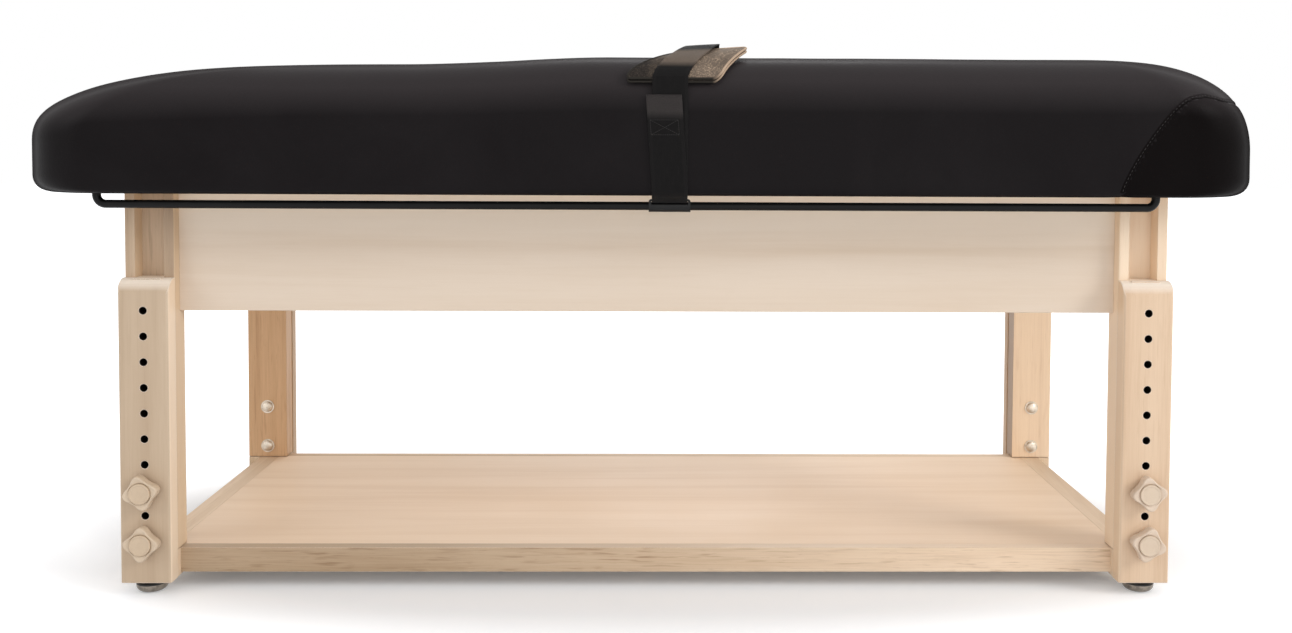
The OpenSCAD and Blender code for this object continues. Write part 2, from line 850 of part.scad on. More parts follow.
// One end of the webbing: down from the sewn end, round the hook's bar and up to the front face.
hook_in_r = rod_d / 2 + hook_gap;
bar_y = -rod_y - hook_in_r - hook_t / 2;
bar_z = rod_z + hook_up - hook_bar_h / 2;
bar_round = norm([hook_t, hook_bar_h]) / 2;
circle_out = [corner_y, corner_z, side_tuck + lay + strap_t + loop_gap];
circle_bar = [bar_y, bar_z, bar_round + loop_gap + strap_t / 2];
circle_in = [corner_y, corner_z, -side_tuck - lay];
to_bar = heading(circle_out, circle_bar);
from_bar = heading(circle_bar, circle_in);
end_run = concat(
    [[corner_y - circle_out[2], top_z + sewn_up]],
    arc(circle_out, -90, to_bar),
    arc(circle_bar, to_bar, from_bar),
    arc(circle_in, from_bar, 90)
);

// Up the front face and over the pad.
roll_z = top_z + (top_h - crown - side_roll_h) * keep(strap_edge(0));
circle_roll = [roll_round - top_depth / 2, roll_z, -roll_round - lay];
circle_nose = [pad_top(0)[0], pad_top(0)[1], -lay];
to_nose = heading(circle_roll, circle_nose);
rise_run = concat(arc(circle_roll, 90, to_nose), arc(circle_nose, to_nose, pad_slope(0)));
pad_run = [for (v = pad_v_shares) if (v > 0) on_pad(v)];
pad_end = on_pad(1);
land_y = pad_end[0] + strap_land;
land_z = surface_z(strap_edge(1), land_y) + lay;
land_run = [
    for (s = land_shares)
        [pad_end[0] + strap_land * s[0], land_z + (pad_end[1] - land_z) * s[1]]
];

// Across the middle and down the rear shoulder.
flat_y = top_depth / 2 - side_roll;
crown_y = corner_r / 2;
top_run = [for (y = [-(flat_y + crown_y) / 2, -crown_y, crown_y, (flat_y + crown_y) / 2])
    [y, surface_z(strap_edge(1), y) + lay]];
shoulder_run = [
    for (a = [90 : -10 : 0])
        let (n = [cos(a) / side_roll, sin(a) / side_roll_h])
        let (y = flat_y + side_roll * cos(a))
        [y, surface_z(strap_edge(1), y)] + lay * n / norm(n)
];

// Each ring of the sweep is [y, z, x of the middle, lift of the left edge, lift of the right].
function edge_lift(v, side) =
    let (u = (strap_x - pad_x + (strap_skew - pad_skew) * v + side * strap_w / 2) / pad_w)
    pad_tail * min(1, max(0, u)) * v * v;
left_drop = top_h * (keep(strap_edge(1)) - keep(strap_edge(1) - strap_w));

strap_rings = concat(
    [for (i = [0 : len(end_run) - 1])
        [end_run[i][0], end_run[i][1], strap_x - (i == 0 ? strap_lean : 0), 0, 0]],
    [for (p = rise_run) [p[0], p[1], strap_x, 0, 0]],
    [for (i = [0 : len(pad_run) - 1])
        let (v = pad_v_shares[i + 1])
        [pad_run[i][0], pad_run[i][1], strap_at(v),
         edge_lift(v, -1) - left_drop * v, edge_lift(v, 1)]],
    [for (i = [0 : len(land_run) - 1])
        [land_run[i][0], land_run[i][1], strap_at(1),
         edge_lift(1, -1) * land_shares[i][1] - left_drop,
         edge_lift(1, 1) * land_shares[i][1]]],
    [for (p = concat(top_run, shoulder_run)) [p[0], p[1], strap_at(1), -left_drop, 0]],
    [for (i = [len(end_run) - 1 : -1 : 0])
        [-end_run[i][0], end_run[i][1], strap_at(1), 0, 0]]
);

module strap_webbing() {
    m = len(strap_rings);
    points = [
        for (i = [0 : m - 1])
            let (
                r = strap_rings[i],
                a = strap_rings[max(0, i - 1)],
                b = strap_rings[min(m - 1, i + 1)],
                d = [b[0] - a[0], b[1] - a[1]] / norm([b[0] - a[0], b[1] - a[1]]),
                n = [-d[1], d[0]] * strap_t / 2
            )
            for (c = [[-1, -1], [1, -1], [1, 1], [-1, 1]])
                [r[2] + c[0] * strap_w / 2, r[0] + c[1] * n[0],
                 r[1] + c[1] * n[1] + (c[0] < 0 ? r[3] : r[4])]
    ];
    sides = [
        for (i = [0 : m - 2], c = [0 : 3])
            let (a = 4 * i + c, b = 4 * i + (c + 1) % 4)
            each [[a, b, b + 4], [a, b + 4, a + 4]]
    ];
    last = 4 * (m - 1);
    ends = [[0, 2, 1], [0, 3, 2], [last, last + 1, last + 2], [last, last + 2, last + 3]];
    color([0.16, 0.15, 0.15])
        polyhedron(points, concat(sides, ends), convexity = 8);
}

// A hook is a plate in front of the rail with a slot for the webbing. It runs on under the rail
// and up behind it, and ends in a lip. It is drawn for the front rail, round the rod's middle.
module hook_plate()
    difference() {
        union() {
            translate([-hook_w / 2, -hook_in_r - hook_t, 0])
                cube([hook_w, hook_t, hook_up - hook_corner_r]);
            translate([hook_corner_r - hook_w / 2, -hook_in_r - hook_t, 0])
                cube([hook_w - 2 * hook_corner_r, hook_t, hook_up]);
            for (side = [-1, 1])
                translate([side * (hook_w / 2 - hook_corner_r), -hook_in_r - hook_t,
                           hook_up - hook_corner_r])
                    rotate([-90, 0, 0])
                        cylinder(r = hook_corner_r, h = hook_t);
        }
        translate([-strap_w / 2 - hook_slot_room, -hook_in_r - hook_t - over,
                   hook_up - hook_bar_h - hook_slot_h])
            cube([strap_w + 2 * hook_slot_room, hook_t + 2 * over, hook_slot_h]);
    }

module hook_bend()
    rotate([90, 0, 90])
        translate([0, 0, -hook_w / 2])
            rotate([0, 0, 180])
                rotate_extrude(angle = 180)
                    translate([hook_in_r, 0])
                        square([hook_t, hook_w]);

module strap_hook(face)
    color([0.10, 0.10, 0.10])
        translate([strap_at(face > 0 ? 1 : 0), 0, rod_z])
            at_face(face)
                translate([0, -rod_y, 0]) {
                    hook_plate();
                    hook_bend();
                    translate([-hook_w / 2, hook_in_r, 0])
                        cube([hook_w, hook_t, hook_lip_up]);
                }

// A pad layer is a grid of points on its lower and upper faces, thinner along its border.
module strap_pad(mid) {
    nu = len(pad_u_shares);
    nv = len(pad_v_shares);
    grid = nu * nv;
    points = [
        for (face = [-1, 1], j = [0 : nv - 1], i = [0 : nu - 1])
            let (
                u = pad_u_shares[i],
                v = pad_v_shares[j],
                border = i == 0 || j == 0 || i == nu - 1 || j == nv - 1,
                t = pad_t * (border ? pad_edge_share : 1)
            )
            [pad_at(u, v), pad_y(v), pad_under(u, v) + mid + face * t / 2]
    ];
    skins = [
        for (j = [0 : nv - 2], i = [0 : nu - 2])
            let (a = j * nu + i, b = a + 1, c = a + nu, d = c + 1, g = grid)
            each [[a, d, c], [a, b, d], [a + g, c + g, d + g], [a + g, d + g, b + g]]
    ];
    walls = concat(
        [for (i = [0 : nu - 2])
            let (a = i, b = i + 1, g = grid)
            each [[a, a + g, b + g], [a, b + g, b]]],
        [for (i = [0 : nu - 2])
            let (a = (nv - 1) * nu + i, b = a + 1, g = grid)
            each [[b, b + g, a + g], [b, a + g, a]]],
        [for (j = [0 : nv - 2])
            let (a = j * nu + nu - 1, b = a + nu, g = grid)
            each [[a, a + g, b + g], [a, b + g, b]]],
        [for (j = [0 : nv - 2])
            let (a = j * nu, b = a + nu, g = grid)
            each [[b, b + g, a + g], [b, a + g, a]]]
    );
    polyhedron(points, concat(skins, walls), convexity = 4);
}

module strap_pad_lower()
    color([0.30, 0.27, 0.25])
        strap_pad(pad_t / 2);

module strap_pad_upper()
    color([0.38, 0.34, 0.31])
        strap_pad(pad_t * 3 / 2 + pad_seam);

outer_leg(-1, -1);  // outer_leg_fl
outer_leg(1, -1);  // outer_leg_fr
outer_leg(-1, 1);  // outer_leg_rl
outer_leg(1, 1);  // outer_leg_rr
foot_block(-1, -1);  // foot_block_fl
foot_block(1, -1);  // foot_block_fr
foot_block(-1, 1);  // foot_block_rl
foot_block(1, 1);  // foot_block_rr
shelf_panel();
long_rail(-1);  // shelf_rail_front
long_rail(1);  // shelf_rail_rear
side_rail(-1);  // shelf_rail_left
side_rail(1);  // shelf_rail_right
foot_inserts();
foot(-1, -1);  // foot_fl
foot(1, -1);  // foot_fr
foot(-1, 1);  // foot_rl
foot(1, 1);  // foot_rr
foot_ring(-1, -1);  // foot_ring_fl
foot_ring(1, -1);  // foot_ring_fr
foot_ring(-1, 1);  // foot_ring_rl
foot_ring(1, 1);  // foot_ring_rr
inner_post(-1, -1);  // inner_post_fl
inner_post(1, -1);  // inner_post_fr
inner_post(-1, 1);  // inner_post_rl
inner_post(1, 1);  // inner_post_rr
long_apron(-1);  // apron_front
long_apron(1);  // apron_rear
end_apron(-1);  // apron_left
end_apron(1);  // apron_right
deck_braces();
deck();
foam_core();
cushion_cover();
strap_rail(-1);  // strap_rail_front
strap_rail(1);  // strap_rail_rear
leg_bolts();
bolt_washers();
knob(-1, -1, high_bolt_z, 12);  // knob_fl_upper
knob(-1, -1, low_hole_z, -1);  // knob_fl_lower
knob(1, -1, high_bolt_z, -7);  // knob_fr_upper
knob(1, -1, low_hole_z, 15);  // knob_fr_lower
knob(-1, 1, high_bolt_z, 20);  // knob_rl_upper
knob(-1, 1, low_hole_z, -25);  // knob_rl_lower
knob(1, 1, high_bolt_z, 33);  // knob_rr_upper
knob(1, 1, low_hole_z, -10);  // knob_rr_lower
strap_webbing();
strap_hook(-1);  // strap_hook_front
strap_hook(1);  // strap_hook_rear
strap_pad_lower();
strap_pad_upper();
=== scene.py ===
from functools import partialmethod
from math import asin, atan2, ceil, copysign, cos, degrees, exp, hypot, pi, radians, sin, sqrt

import bpy
from mathutils import Matrix, Vector, noise
from mathutils.bvhtree import BVHTree
from mathutils.kdtree import KDTree


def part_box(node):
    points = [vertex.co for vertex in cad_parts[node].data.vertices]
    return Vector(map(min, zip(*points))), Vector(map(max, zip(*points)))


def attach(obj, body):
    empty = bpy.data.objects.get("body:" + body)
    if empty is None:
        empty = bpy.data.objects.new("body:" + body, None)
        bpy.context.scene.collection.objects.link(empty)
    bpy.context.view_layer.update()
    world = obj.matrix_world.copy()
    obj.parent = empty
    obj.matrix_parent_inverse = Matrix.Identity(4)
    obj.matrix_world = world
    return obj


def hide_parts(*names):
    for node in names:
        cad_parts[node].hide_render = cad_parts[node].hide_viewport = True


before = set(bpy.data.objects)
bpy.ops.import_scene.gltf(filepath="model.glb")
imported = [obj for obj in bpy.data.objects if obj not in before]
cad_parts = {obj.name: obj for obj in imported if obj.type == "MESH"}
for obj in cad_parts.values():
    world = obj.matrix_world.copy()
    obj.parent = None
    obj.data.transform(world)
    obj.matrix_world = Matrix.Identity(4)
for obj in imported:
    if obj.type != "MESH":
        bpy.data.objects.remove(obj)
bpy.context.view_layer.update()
scene = bpy.context.scene
scene.view_settings.view_transform = "Standard"

# Shapes below are written in millimetres and made in metres.
MM = 0.001

# Camera

CAMERA_PLACE = (0.0236, -2.1394, 0.6856)
CAMERA_RIGHT = (0.999898, -0.013425, 0.004792)
CAMERA_UP = (-0.004256, 0.039648, 0.999205)
CAMERA_FORWARD = (0.013604, 0.999124, -0.039587)
CAMERA_LENS = 34.52
CAMERA_SHIFT = (-0.0247, -0.1005)

lens = bpy.data.cameras.new("camera")
lens.sensor_fit = "HORIZONTAL"
lens.sensor_width = 36
lens.lens = CAMERA_LENS
lens.shift_x, lens.shift_y = CAMERA_SHIFT
lens.clip_end = 60
camera = bpy.data.objects.new("camera", lens)
turn = Matrix((CAMERA_RIGHT, CAMERA_UP, [-v for v in CAMERA_FORWARD])).transposed().to_4x4()
camera.matrix_world = Matrix.Translation(CAMERA_PLACE) @ turn
scene.collection.objects.link(camera)
scene.camera = camera


# Shader helpers

def linear(tone):
    """An sRGB colour, 0 to 255, as a linear one."""
    shares = (v / 255 for v in tone)
    return *(v / 12.92 if v <= 0.04045 else ((v + 0.055) / 1.055) ** 2.4 for v in shares), 1


class Nodes:
    """Short calls for the nodes of one tree."""

    def __init__(self, tree):
        self.tree = tree

    def feed(self, socket, value):
        """Links an output to the socket, or sets it to a plain value."""
        if isinstance(value, bpy.types.NodeSocket):
            self.tree.links.new(value, socket)
        else:
            socket.default_value = value

    def node(self, kind, inputs=None, **props):
        new = self.tree.nodes.new("ShaderNode" + kind)
        for key, value in props.items():
            setattr(new, key, value)
        for key, value in (inputs or {}).items():
            self.feed(new.inputs[key], value)
        return new

    def object_place(self):
        return self.node("TexCoord").outputs["Object"]

    def part(self, vector, index):
        """x, y or z of a vector, for index 0, 1 or 2."""
        return self.node("SeparateXYZ", {0: vector}).outputs[index]

    def place(self, vector, scale=(1, 1, 1), shift=(0, 0, 0)):
        return self.node("Mapping", {"Vector": vector, "Scale": scale, "Location": shift}).outputs[0]

    def noise(self, vector, scale, detail=2, rough=0.5, bend=0):
        inputs = {"Vector": vector, "Scale": scale, "Detail": detail, "Roughness": rough,
                  "Distortion": bend}
        return self.node("TexNoise", inputs).outputs["Fac"]

    def waves(self, vector, scale, axis, bend):
        inputs = {"Vector": vector, "Scale": scale, "Distortion": bend}
        return self.node("TexWave", inputs, bands_direction=axis).outputs["Fac"]

    def math(self, how, a, b=0):
        return self.node("Math", {0: a, 1: b}, operation=how).outputs[0]

    times = partialmethod(math, "MULTIPLY")
    plus = partialmethod(math, "ADD")
    minus = partialmethod(math, "SUBTRACT")
    most = partialmethod(math, "MAXIMUM")

    def ramp(self, value, low, high, to_low=0, to_high=1, shape="LINEAR"):
        """Maps low..high of the value to to_low..to_high, and holds it there outside."""
        inputs = {"Value": value, "From Min": low, "From Max": high, "To Min": to_low,
                  "To Max": to_high}
        return self.node("MapRange", inputs, interpolation_type=shape).outputs[0]

    def mix(self, factor, a, b, how="MIX"):
        inputs = {0: factor, 6: a, 7: b}
        return self.node("Mix", inputs, data_type="RGBA", blend_type=how).outputs[2]


class Shader(Nodes):
    """A principled material, whose settings are the same all over the surface."""

    def __init__(self, name, **settings):
        self.material = bpy.data.materials.new(name)
        self.material.use_nodes = True
        super().__init__(self.material.node_tree)
        self.surface = self.tree.nodes["Principled BSDF"]
        for key, value in settings.items():
            self.surface.inputs[key.replace("_", " ")].default_value = value

    def facing(self, kind):
        """Normal is the shaded normal, True Normal that of the bare face."""
        return self.node("NewGeometry").outputs[kind]

    def soft_edges(self, radius):
        return self.node("Bevel", {"Radius": radius}, samples=4).outputs[0]

    def bump(self, height, distance, strength, under=None):
        inputs = {"Height": height, "Distance": distance, "Strength": strength}
        if under is not None:
            inputs["Normal"] = under
        return self.node("Bump", inputs).outputs[0]

    def finish(self, colour, roughness, normal):
        for key, value in (("Base Color", colour), ("Roughness", roughness), ("Normal", normal)):
            self.feed(self.surface.inputs[key], value)
        return self.material


# Materials. A tone is an sRGB colour, and a shade a factor on the linear colour.

GRAIN_ALONG = {"X": 0, "Y": 1, "Z": 2}
SEED_SHIFT = (0.37, 0.61, 0.23)
LEFT_PAINTED_SHADE_X = (-350, 500)
BORE_SHADE_TONE = (20, 14, 10)


def wood(name, axis, pale, mid, dark, grain=(0.4, 0.4, 0.22), seed=0, edge=1.5, side=None,
         painted_top_light=None, left=None, high=None, paint_bore_shade=False):
    """Maple grown along an axis. grain is how strong its streaks, short dashes and fibres are,
    side the tone painted on faces across X for the light and shade that fall on them,
    painted_top_light the painted light on faces turned up, left a painted shade towards the left
    end, high (z from, z to, tone) a painted light that lifts the shade under the top, and edge the
    radius of its shaded edges, which carry a painted highlight. paint_bore_shade paints shade in
    the holes."""
    streaks, dashes, fibres = grain
    pale, mid, dark = (linear(tone) for tone in (pale, mid, dark))
    s = Shader("maple_" + name, Specular_IOR_Level=0.32)
    place = s.object_place()
    here = s.place(place, shift=[seed * v for v in SEED_SHIFT])

    def along(long_scale, cross_scale):
        scale = [cross_scale] * 3
        scale[GRAIN_ALONG[axis]] = long_scale
        return s.place(here, scale)

    bands = s.noise(along(1.1, 24), 1, 3, 0.55, 0.5)
    blotches = s.noise(here, 3.4)
    fibre = s.noise(along(9, 420), 1, 3, 0.6)
    dash = s.noise(along(15, 230), 1, 2, 0.55)
    pores = s.noise(along(40, 700), 1, 2, 0.6)
    colour = s.mix(s.ramp(bands, 0.36, 0.66), pale, mid)
    for pattern, ends, share, tone in (
            (bands, (0.54, 0.76), streaks, dark), (blotches, (0.4, 0.75), 0.2, mid),
            (fibre, (0.45, 0.75), fibres, dark)):
        colour = s.mix(s.ramp(pattern, *ends, 0, share), colour, tone)
    amount = s.times(s.ramp(dash, 0.57, 0.7), s.ramp(blotches, 0.3, 0.6, 0.35, 1))
    colour = s.mix(s.times(amount, dashes), colour, dark)
    colour = s.mix(s.ramp(pores, 0.64, 0.78, 0, dashes), colour, dark)
    flat = s.facing("True Normal")
    # Painted light and shade: faces across X take the side tone for the light that falls on them.
    if side:
        across = s.ramp(s.math("ABSOLUTE", s.part(flat, 0)), 0.6, 0.85, 0, 0.75)
        colour = s.mix(across, colour, linear(side))
    # Painted light: faces turned up take a lighter tone.
    if painted_top_light:
        colour = s.mix(s.ramp(s.part(flat, 2), 0.25, 0.8, 0, 0.85), colour, linear(painted_top_light))
    # Painted shade: darker towards the left end.
    if left:
        fade = s.ramp(s.part(place, 0), *[v * MM for v in LEFT_PAINTED_SHADE_X], 1, 0)
        colour = s.mix(fade, colour, left, "MULTIPLY")
    # Painted light: paler towards the top, lifting the shade under the upholstered top.
    if high:
        colour = s.mix(s.ramp(s.part(place, 2), high[0] * MM, high[1] * MM), colour, linear(high[2]))
    soft = s.soft_edges(edge * MM)
    # Painted highlight: worn lightens the rounded edges.
    level = s.node("VectorMath", {0: soft, 1: flat}, operation="DOT_PRODUCT").outputs["Value"]
    worn = s.ramp(level, 0.995, 0.86, 0, 0.85 if painted_top_light else 0.5)
    colour = s.mix(worn, colour, linear(painted_top_light) if painted_top_light else pale)
    # Painted shade: the walls of the holes are darkened.
    if paint_bore_shade:
        colour = s.mix(painted_bore_shade(s, place), colour, linear(BORE_SHADE_TONE))
    rough = s.ramp(s.plus(fibre, blotches), 0.7, 1.3, 0.46, 0.6)
    height = s.plus(s.times(fibre, 0.6), s.times(pores, -0.5))
    return s.finish(colour, rough, s.bump(height, 0.12 * MM, 0.7, soft))


# The rows of holes in the outer legs
HOLE_R = 5.55
HOLE_PITCH = 38.1
HOLE_COUNT = 10
LOW_HOLE_Z = 84.8
LEG_X = 743
FRAME_SHIFT = 6
BORE_FADE = (0.1, 0.4)


def painted_bore_shade(s, place):
    """1 on the walls of the holes, where dark shade is painted, 0 elsewhere."""
    x = s.minus(s.math("ABSOLUTE", s.minus(s.part(place, 0), FRAME_SHIFT * MM)), LEG_X * MM)
    rise = s.minus(s.part(place, 2), LOW_HOLE_Z * MM)
    over = s.most(s.minus(rise, (HOLE_COUNT - 1) * HOLE_PITCH * MM), 0)
    under = s.most(s.minus(0, rise), 0)
    z = s.most(s.most(s.math("PINGPONG", rise, HOLE_PITCH * MM / 2), over), under)
    reach = s.math("SQRT", s.plus(s.times(x, x), s.times(z, z)))
    return s.ramp(reach, *[(HOLE_R + v) * MM for v in BORE_FADE], 1, 0)


def plywood(name, pale, dark, seed):
    """Birch veneer on the faces and thin plies on the edges."""
    pale, dark = linear(pale), linear(dark)
    s = Shader(name, Specular_IOR_Level=0.35)
    here = s.place(s.object_place(), shift=(seed, seed * 0.4, 0))
    grain = s.noise(s.place(here, (1.2, 40, 40)), 1, 4, 0.6, 0.5)
    fibre = s.noise(s.place(here, (9, 500, 500)), 1)
    plies = s.waves(s.place(here, (0, 0, 1)), 110, "Z", 0)
    on_edge = s.ramp(s.math("ABSOLUTE", s.part(s.facing("Normal"), 2)), 0.2, 0.6, 1, 0)
    colour = s.mix(s.ramp(grain, 0.35, 0.7), pale, dark)
    colour = s.mix(s.ramp(fibre, 0.5, 0.75, 0, 0.3), colour, dark)
    layer = s.times(s.ramp(plies, 0.4, 0.6), on_edge)
    colour = s.mix(s.times(layer, 0.75), colour, dark)
    return s.finish(colour, s.ramp(grain, 0.3, 0.7, 0.55, 0.7), s.bump(fibre, 0.2 * MM, 0.6))


TURNING = {"Y": (900, 8, 900), "Z": (900, 900, 8)}
SLEEVE_TOP = 17.4
SLEEVE_FADE = 0.3
SLEEVE_TONE = (14, 13, 13)


def metal(name, bright, dull, rough, scratch_axis, sleeve_z=None):
    """Plated steel with turning marks. From sleeve_z up it wears a black rubber sleeve."""
    s = Shader(name, Metallic=1)
    here = s.object_place()
    marks = s.noise(s.place(here, TURNING[scratch_axis]), 1)
    patches = s.noise(here, 120, 3, 0.6)
    colour = s.mix(s.ramp(patches, 0.4, 0.75), linear(bright), linear(dull))
    roughness = s.ramp(s.plus(marks, patches), 0.6, 1.4, rough * 0.75, rough * 1.35)
    if sleeve_z:
        z = s.part(here, 2)
        start, end = ([v * MM, (v + SLEEVE_FADE) * MM] for v in (sleeve_z, SLEEVE_TOP))
        sleeve = s.times(s.ramp(z, *start), s.ramp(z, *end, 1, 0))
        colour = s.mix(sleeve, colour, linear(SLEEVE_TONE))
        roughness = s.most(roughness, s.times(sleeve, 0.6))
        s.feed(s.surface.inputs["Metallic"], s.minus(1, sleeve))
    return s.finish(colour, roughness, s.bump(marks, 0.03 * MM, 0.5))


def painted(name, base, worn, rough, grain_scale, grain_depth, specular=0.4):
    """Powder coat, plastic or rubber: a fine peel with duller rubbed places."""
    s = Shader(name, Specular_IOR_Level=specular)
    here = s.object_place()
    peel = s.noise(here, grain_scale, 3, 0.55)
    rubbed = s.noise(here, 38, 4, 0.65)
    soft = s.soft_edges(0.6 * MM)
    colour = s.mix(s.ramp(rubbed, 0.45, 0.8, 0, 0.6), linear(base), linear(worn))
    roughness = s.ramp(rubbed, 0.3, 0.75, rough * 0.88, rough * 1.2)
    return s.finish(colour, roughness, s.bump(peel, grain_depth * MM, 0.6, soft))


def vinyl(name, base, lighter, rough, specular, grain=1, speckle=None, shade=None, upper=None):
    """Pebbled vinyl, duller at a flat angle. shade is (x from, x to, shade) and fades out to the
    right, and upper is a painted highlight: a lighter tone on faces that turn up."""
    base, lighter = linear(base), linear(lighter)
    s = Shader(name, Specular_IOR_Level=specular)
    here = s.object_place()
    bent = s.noise(here, 90)
    inputs = {"Vector": here, "Scale": 420}
    pebbles = s.node("TexVoronoi", inputs, feature="SMOOTH_F1").outputs["Distance"]
    creases = s.noise(here, 260, 4, 0.6, 0.6)
    rubbed = s.noise(here, 5, 4, 0.6, 0.4)
    dust = s.noise(here, 800, 2, 0.7)
    colour = s.mix(s.ramp(rubbed, 0.4, 0.7), base, lighter)
    colour = s.mix(s.ramp(dust, 0.55, 0.8, 0, 0.35), colour, lighter)
    if speckle:
        spots = s.noise(here, 520, 3, 0.7)
        patches = s.noise(here, 60, 3, 0.6)
        amount = s.times(s.ramp(spots, 0.5, 0.66), s.ramp(patches, 0.35, 0.6, 0.15, 1))
        colour = s.mix(amount, colour, linear(speckle))
    # Painted highlight: faces that turn up take the lighter upper tone.
    if upper:
        colour = s.mix(s.ramp(s.part(s.facing("Normal"), 2), 0.05, 0.6), colour, linear(upper))
    if shade:
        fade = s.ramp(s.part(here, 0), shade[0] * MM, shade[1] * MM, 1, 0)
        colour = s.mix(fade, colour, shade[2], "MULTIPLY")
    height = s.plus(s.plus(s.times(pebbles, grain), s.times(creases, 0.6)), s.times(bent, 0.5))
    roughness = s.ramp(s.plus(rubbed, creases), 0.7, 1.3, rough * 0.9, rough * 1.15)
    grazing = s.node("LayerWeight", {"Blend": 0.5}).outputs["Facing"]
    roughness = s.most(roughness, s.ramp(grazing, 0.5, 0.95))
    return s.finish(colour, roughness, s.bump(height, 0.16 * MM, 0.7))


STRAP_W = 51
RIB_PITCH = 1.9
YARN_PITCH = 1.5
HEM_FROM = (19.5, 21)
WORN_END = (24, 36)
PAD_BAND_Y = (-366, -356, -326, -316)


def webbing_cloth(name, base, lighter, worn, pad_band_tone):
    """Woven webbing, worn at its sewn end and lighter in a band where it lies on the pad. Its UVs
    are millimetres across and along."""
    base, lighter = linear(base), linear(lighter)
    s = Shader(name, Specular_IOR_Level=0.08, Sheen_Weight=0.04, Sheen_Roughness=0.5)
    strand = s.node("TexCoord").outputs["UV"]
    ribs = s.waves(strand, 1 / (RIB_PITCH * 2), "Y", 0.15)
    yarns = s.waves(strand, 1 / (YARN_PITCH * 2), "X", 0.15)
    weave = s.times(ribs, yarns)
    hem = s.ramp(s.math("ABSOLUTE", s.minus(s.part(strand, 0), STRAP_W / 2)), *HEM_FROM)
    scuffs = s.noise(s.place(strand, (0.3, 0.06, 1)), 1, 4, 0.65, 0.4)
    fuzz = s.noise(strand, 1.6, 3, 0.7)
    colour = s.mix(s.ramp(weave, 0.1, 0.6), base, lighter)
    colour = s.mix(s.ramp(scuffs, 0.5, 0.75, 0, 0.5), colour, lighter)
    colour = s.mix(s.times(hem, 0.35), colour, lighter)
    near_end = s.ramp(s.part(strand, 1), *WORN_END, 1, 0)
    colour = s.mix(s.times(near_end, s.ramp(fuzz, 0.4, 0.62, 0.1, 1)), colour, linear(worn))
    # A lighter band where the webbing lies on the pad.
    y = s.part(s.object_place(), 1)
    start, full, fade, end = (v * MM for v in PAD_BAND_Y)
    band = s.times(s.ramp(y, start, full), s.ramp(y, fade, end, 1, 0))
    colour = s.mix(s.times(band, s.ramp(fuzz, 0.42, 0.6, 0.25, 1)), colour, linear(pad_band_tone))
    height = s.plus(s.plus(weave, s.times(fuzz, 0.35)), s.times(hem, 0.5))
    return s.finish(colour, s.ramp(fuzz, 0.3, 0.7, 0.55, 0.72), s.bump(height, 0.35 * MM, 0.8))


def dress(material, *nodes):
    for name in nodes:
        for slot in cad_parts[name].material_slots:
            slot.material = material


def at_corners(name):
    return [name + "_" + corner for corner in ("fl", "fr", "rl", "rr")]


# Painted light and shade: the left legs and posts are darker copies of the maple and the right ones
# lighter, for the light from the right. Their side and top tones are painted light and shade too.
dress(wood("leg_left_front_painted_shade", "Z", (196, 174, 149), (186, 163, 138), (160, 134, 108),
           grain=(0.25, 0.12, 0.16), seed=1, edge=2.6, side=(246, 224, 198), painted_top_light=(250, 238, 224),
           paint_bore_shade=True), "outer_leg_fl")
dress(wood("leg_right_front_painted_light", "Z", (218, 191, 163), (209, 180, 151), (178, 144, 113),
           grain=(0.3, 0.16, 0.2), seed=2, edge=2.6, side=(232, 205, 174), painted_top_light=(246, 236, 224),
           paint_bore_shade=True), "outer_leg_fr")
dress(wood("leg_rear", "Z", (214, 186, 156), (202, 172, 140), (166, 130, 96), seed=3,
           paint_bore_shade=True), "outer_leg_rl", "outer_leg_rr")
dress(wood("post_left_front_painted_shade", "Z", (206, 182, 156), (180, 154, 128), (152, 130, 108),
           grain=(0.5, 0.5, 0.22), seed=4, side=(226, 200, 168)), "inner_post_fl")
dress(wood("post_right_front_painted_light", "Z", (240, 218, 192), (230, 205, 178), (222, 192, 162),
           grain=(0.4, 0.3, 0.22), seed=5, side=(240, 214, 184)), "inner_post_fr")
dress(wood("post_left_rear_painted_shade", "Z", (216, 178, 138), (202, 162, 122), (166, 122, 84),
           grain=(0.6, 0.5, 0.22), seed=6), "inner_post_rl")
dress(wood("post_right_rear_painted_light", "Z", (242, 216, 186), (232, 204, 174), (204, 172, 138),
           grain=(0.4, 0.3, 0.22), seed=7, side=(150, 128, 110)), "inner_post_rr")
# The apron's high band is painted light that lifts the shade under the top.
dress(wood("apron", "X", (219, 202, 184), (213, 194, 174), (200, 176, 150),
           grain=(0.3, 0.08, 0.1), seed=8, high=(520, 600, (248, 234, 216))), "apron_front",
      "apron_rear")
dress(wood("end_apron", "Y", (219, 202, 184), (212, 193, 172), (196, 170, 142),
           grain=(0.35, 0.12, 0.14), seed=9), "apron_left", "apron_right")
dress(wood("panel", "X", (240, 216, 190), (234, 208, 180), (218, 188, 156),
           grain=(0.25, 0.06, 0.1), seed=10, edge=0.8), "shelf_panel")
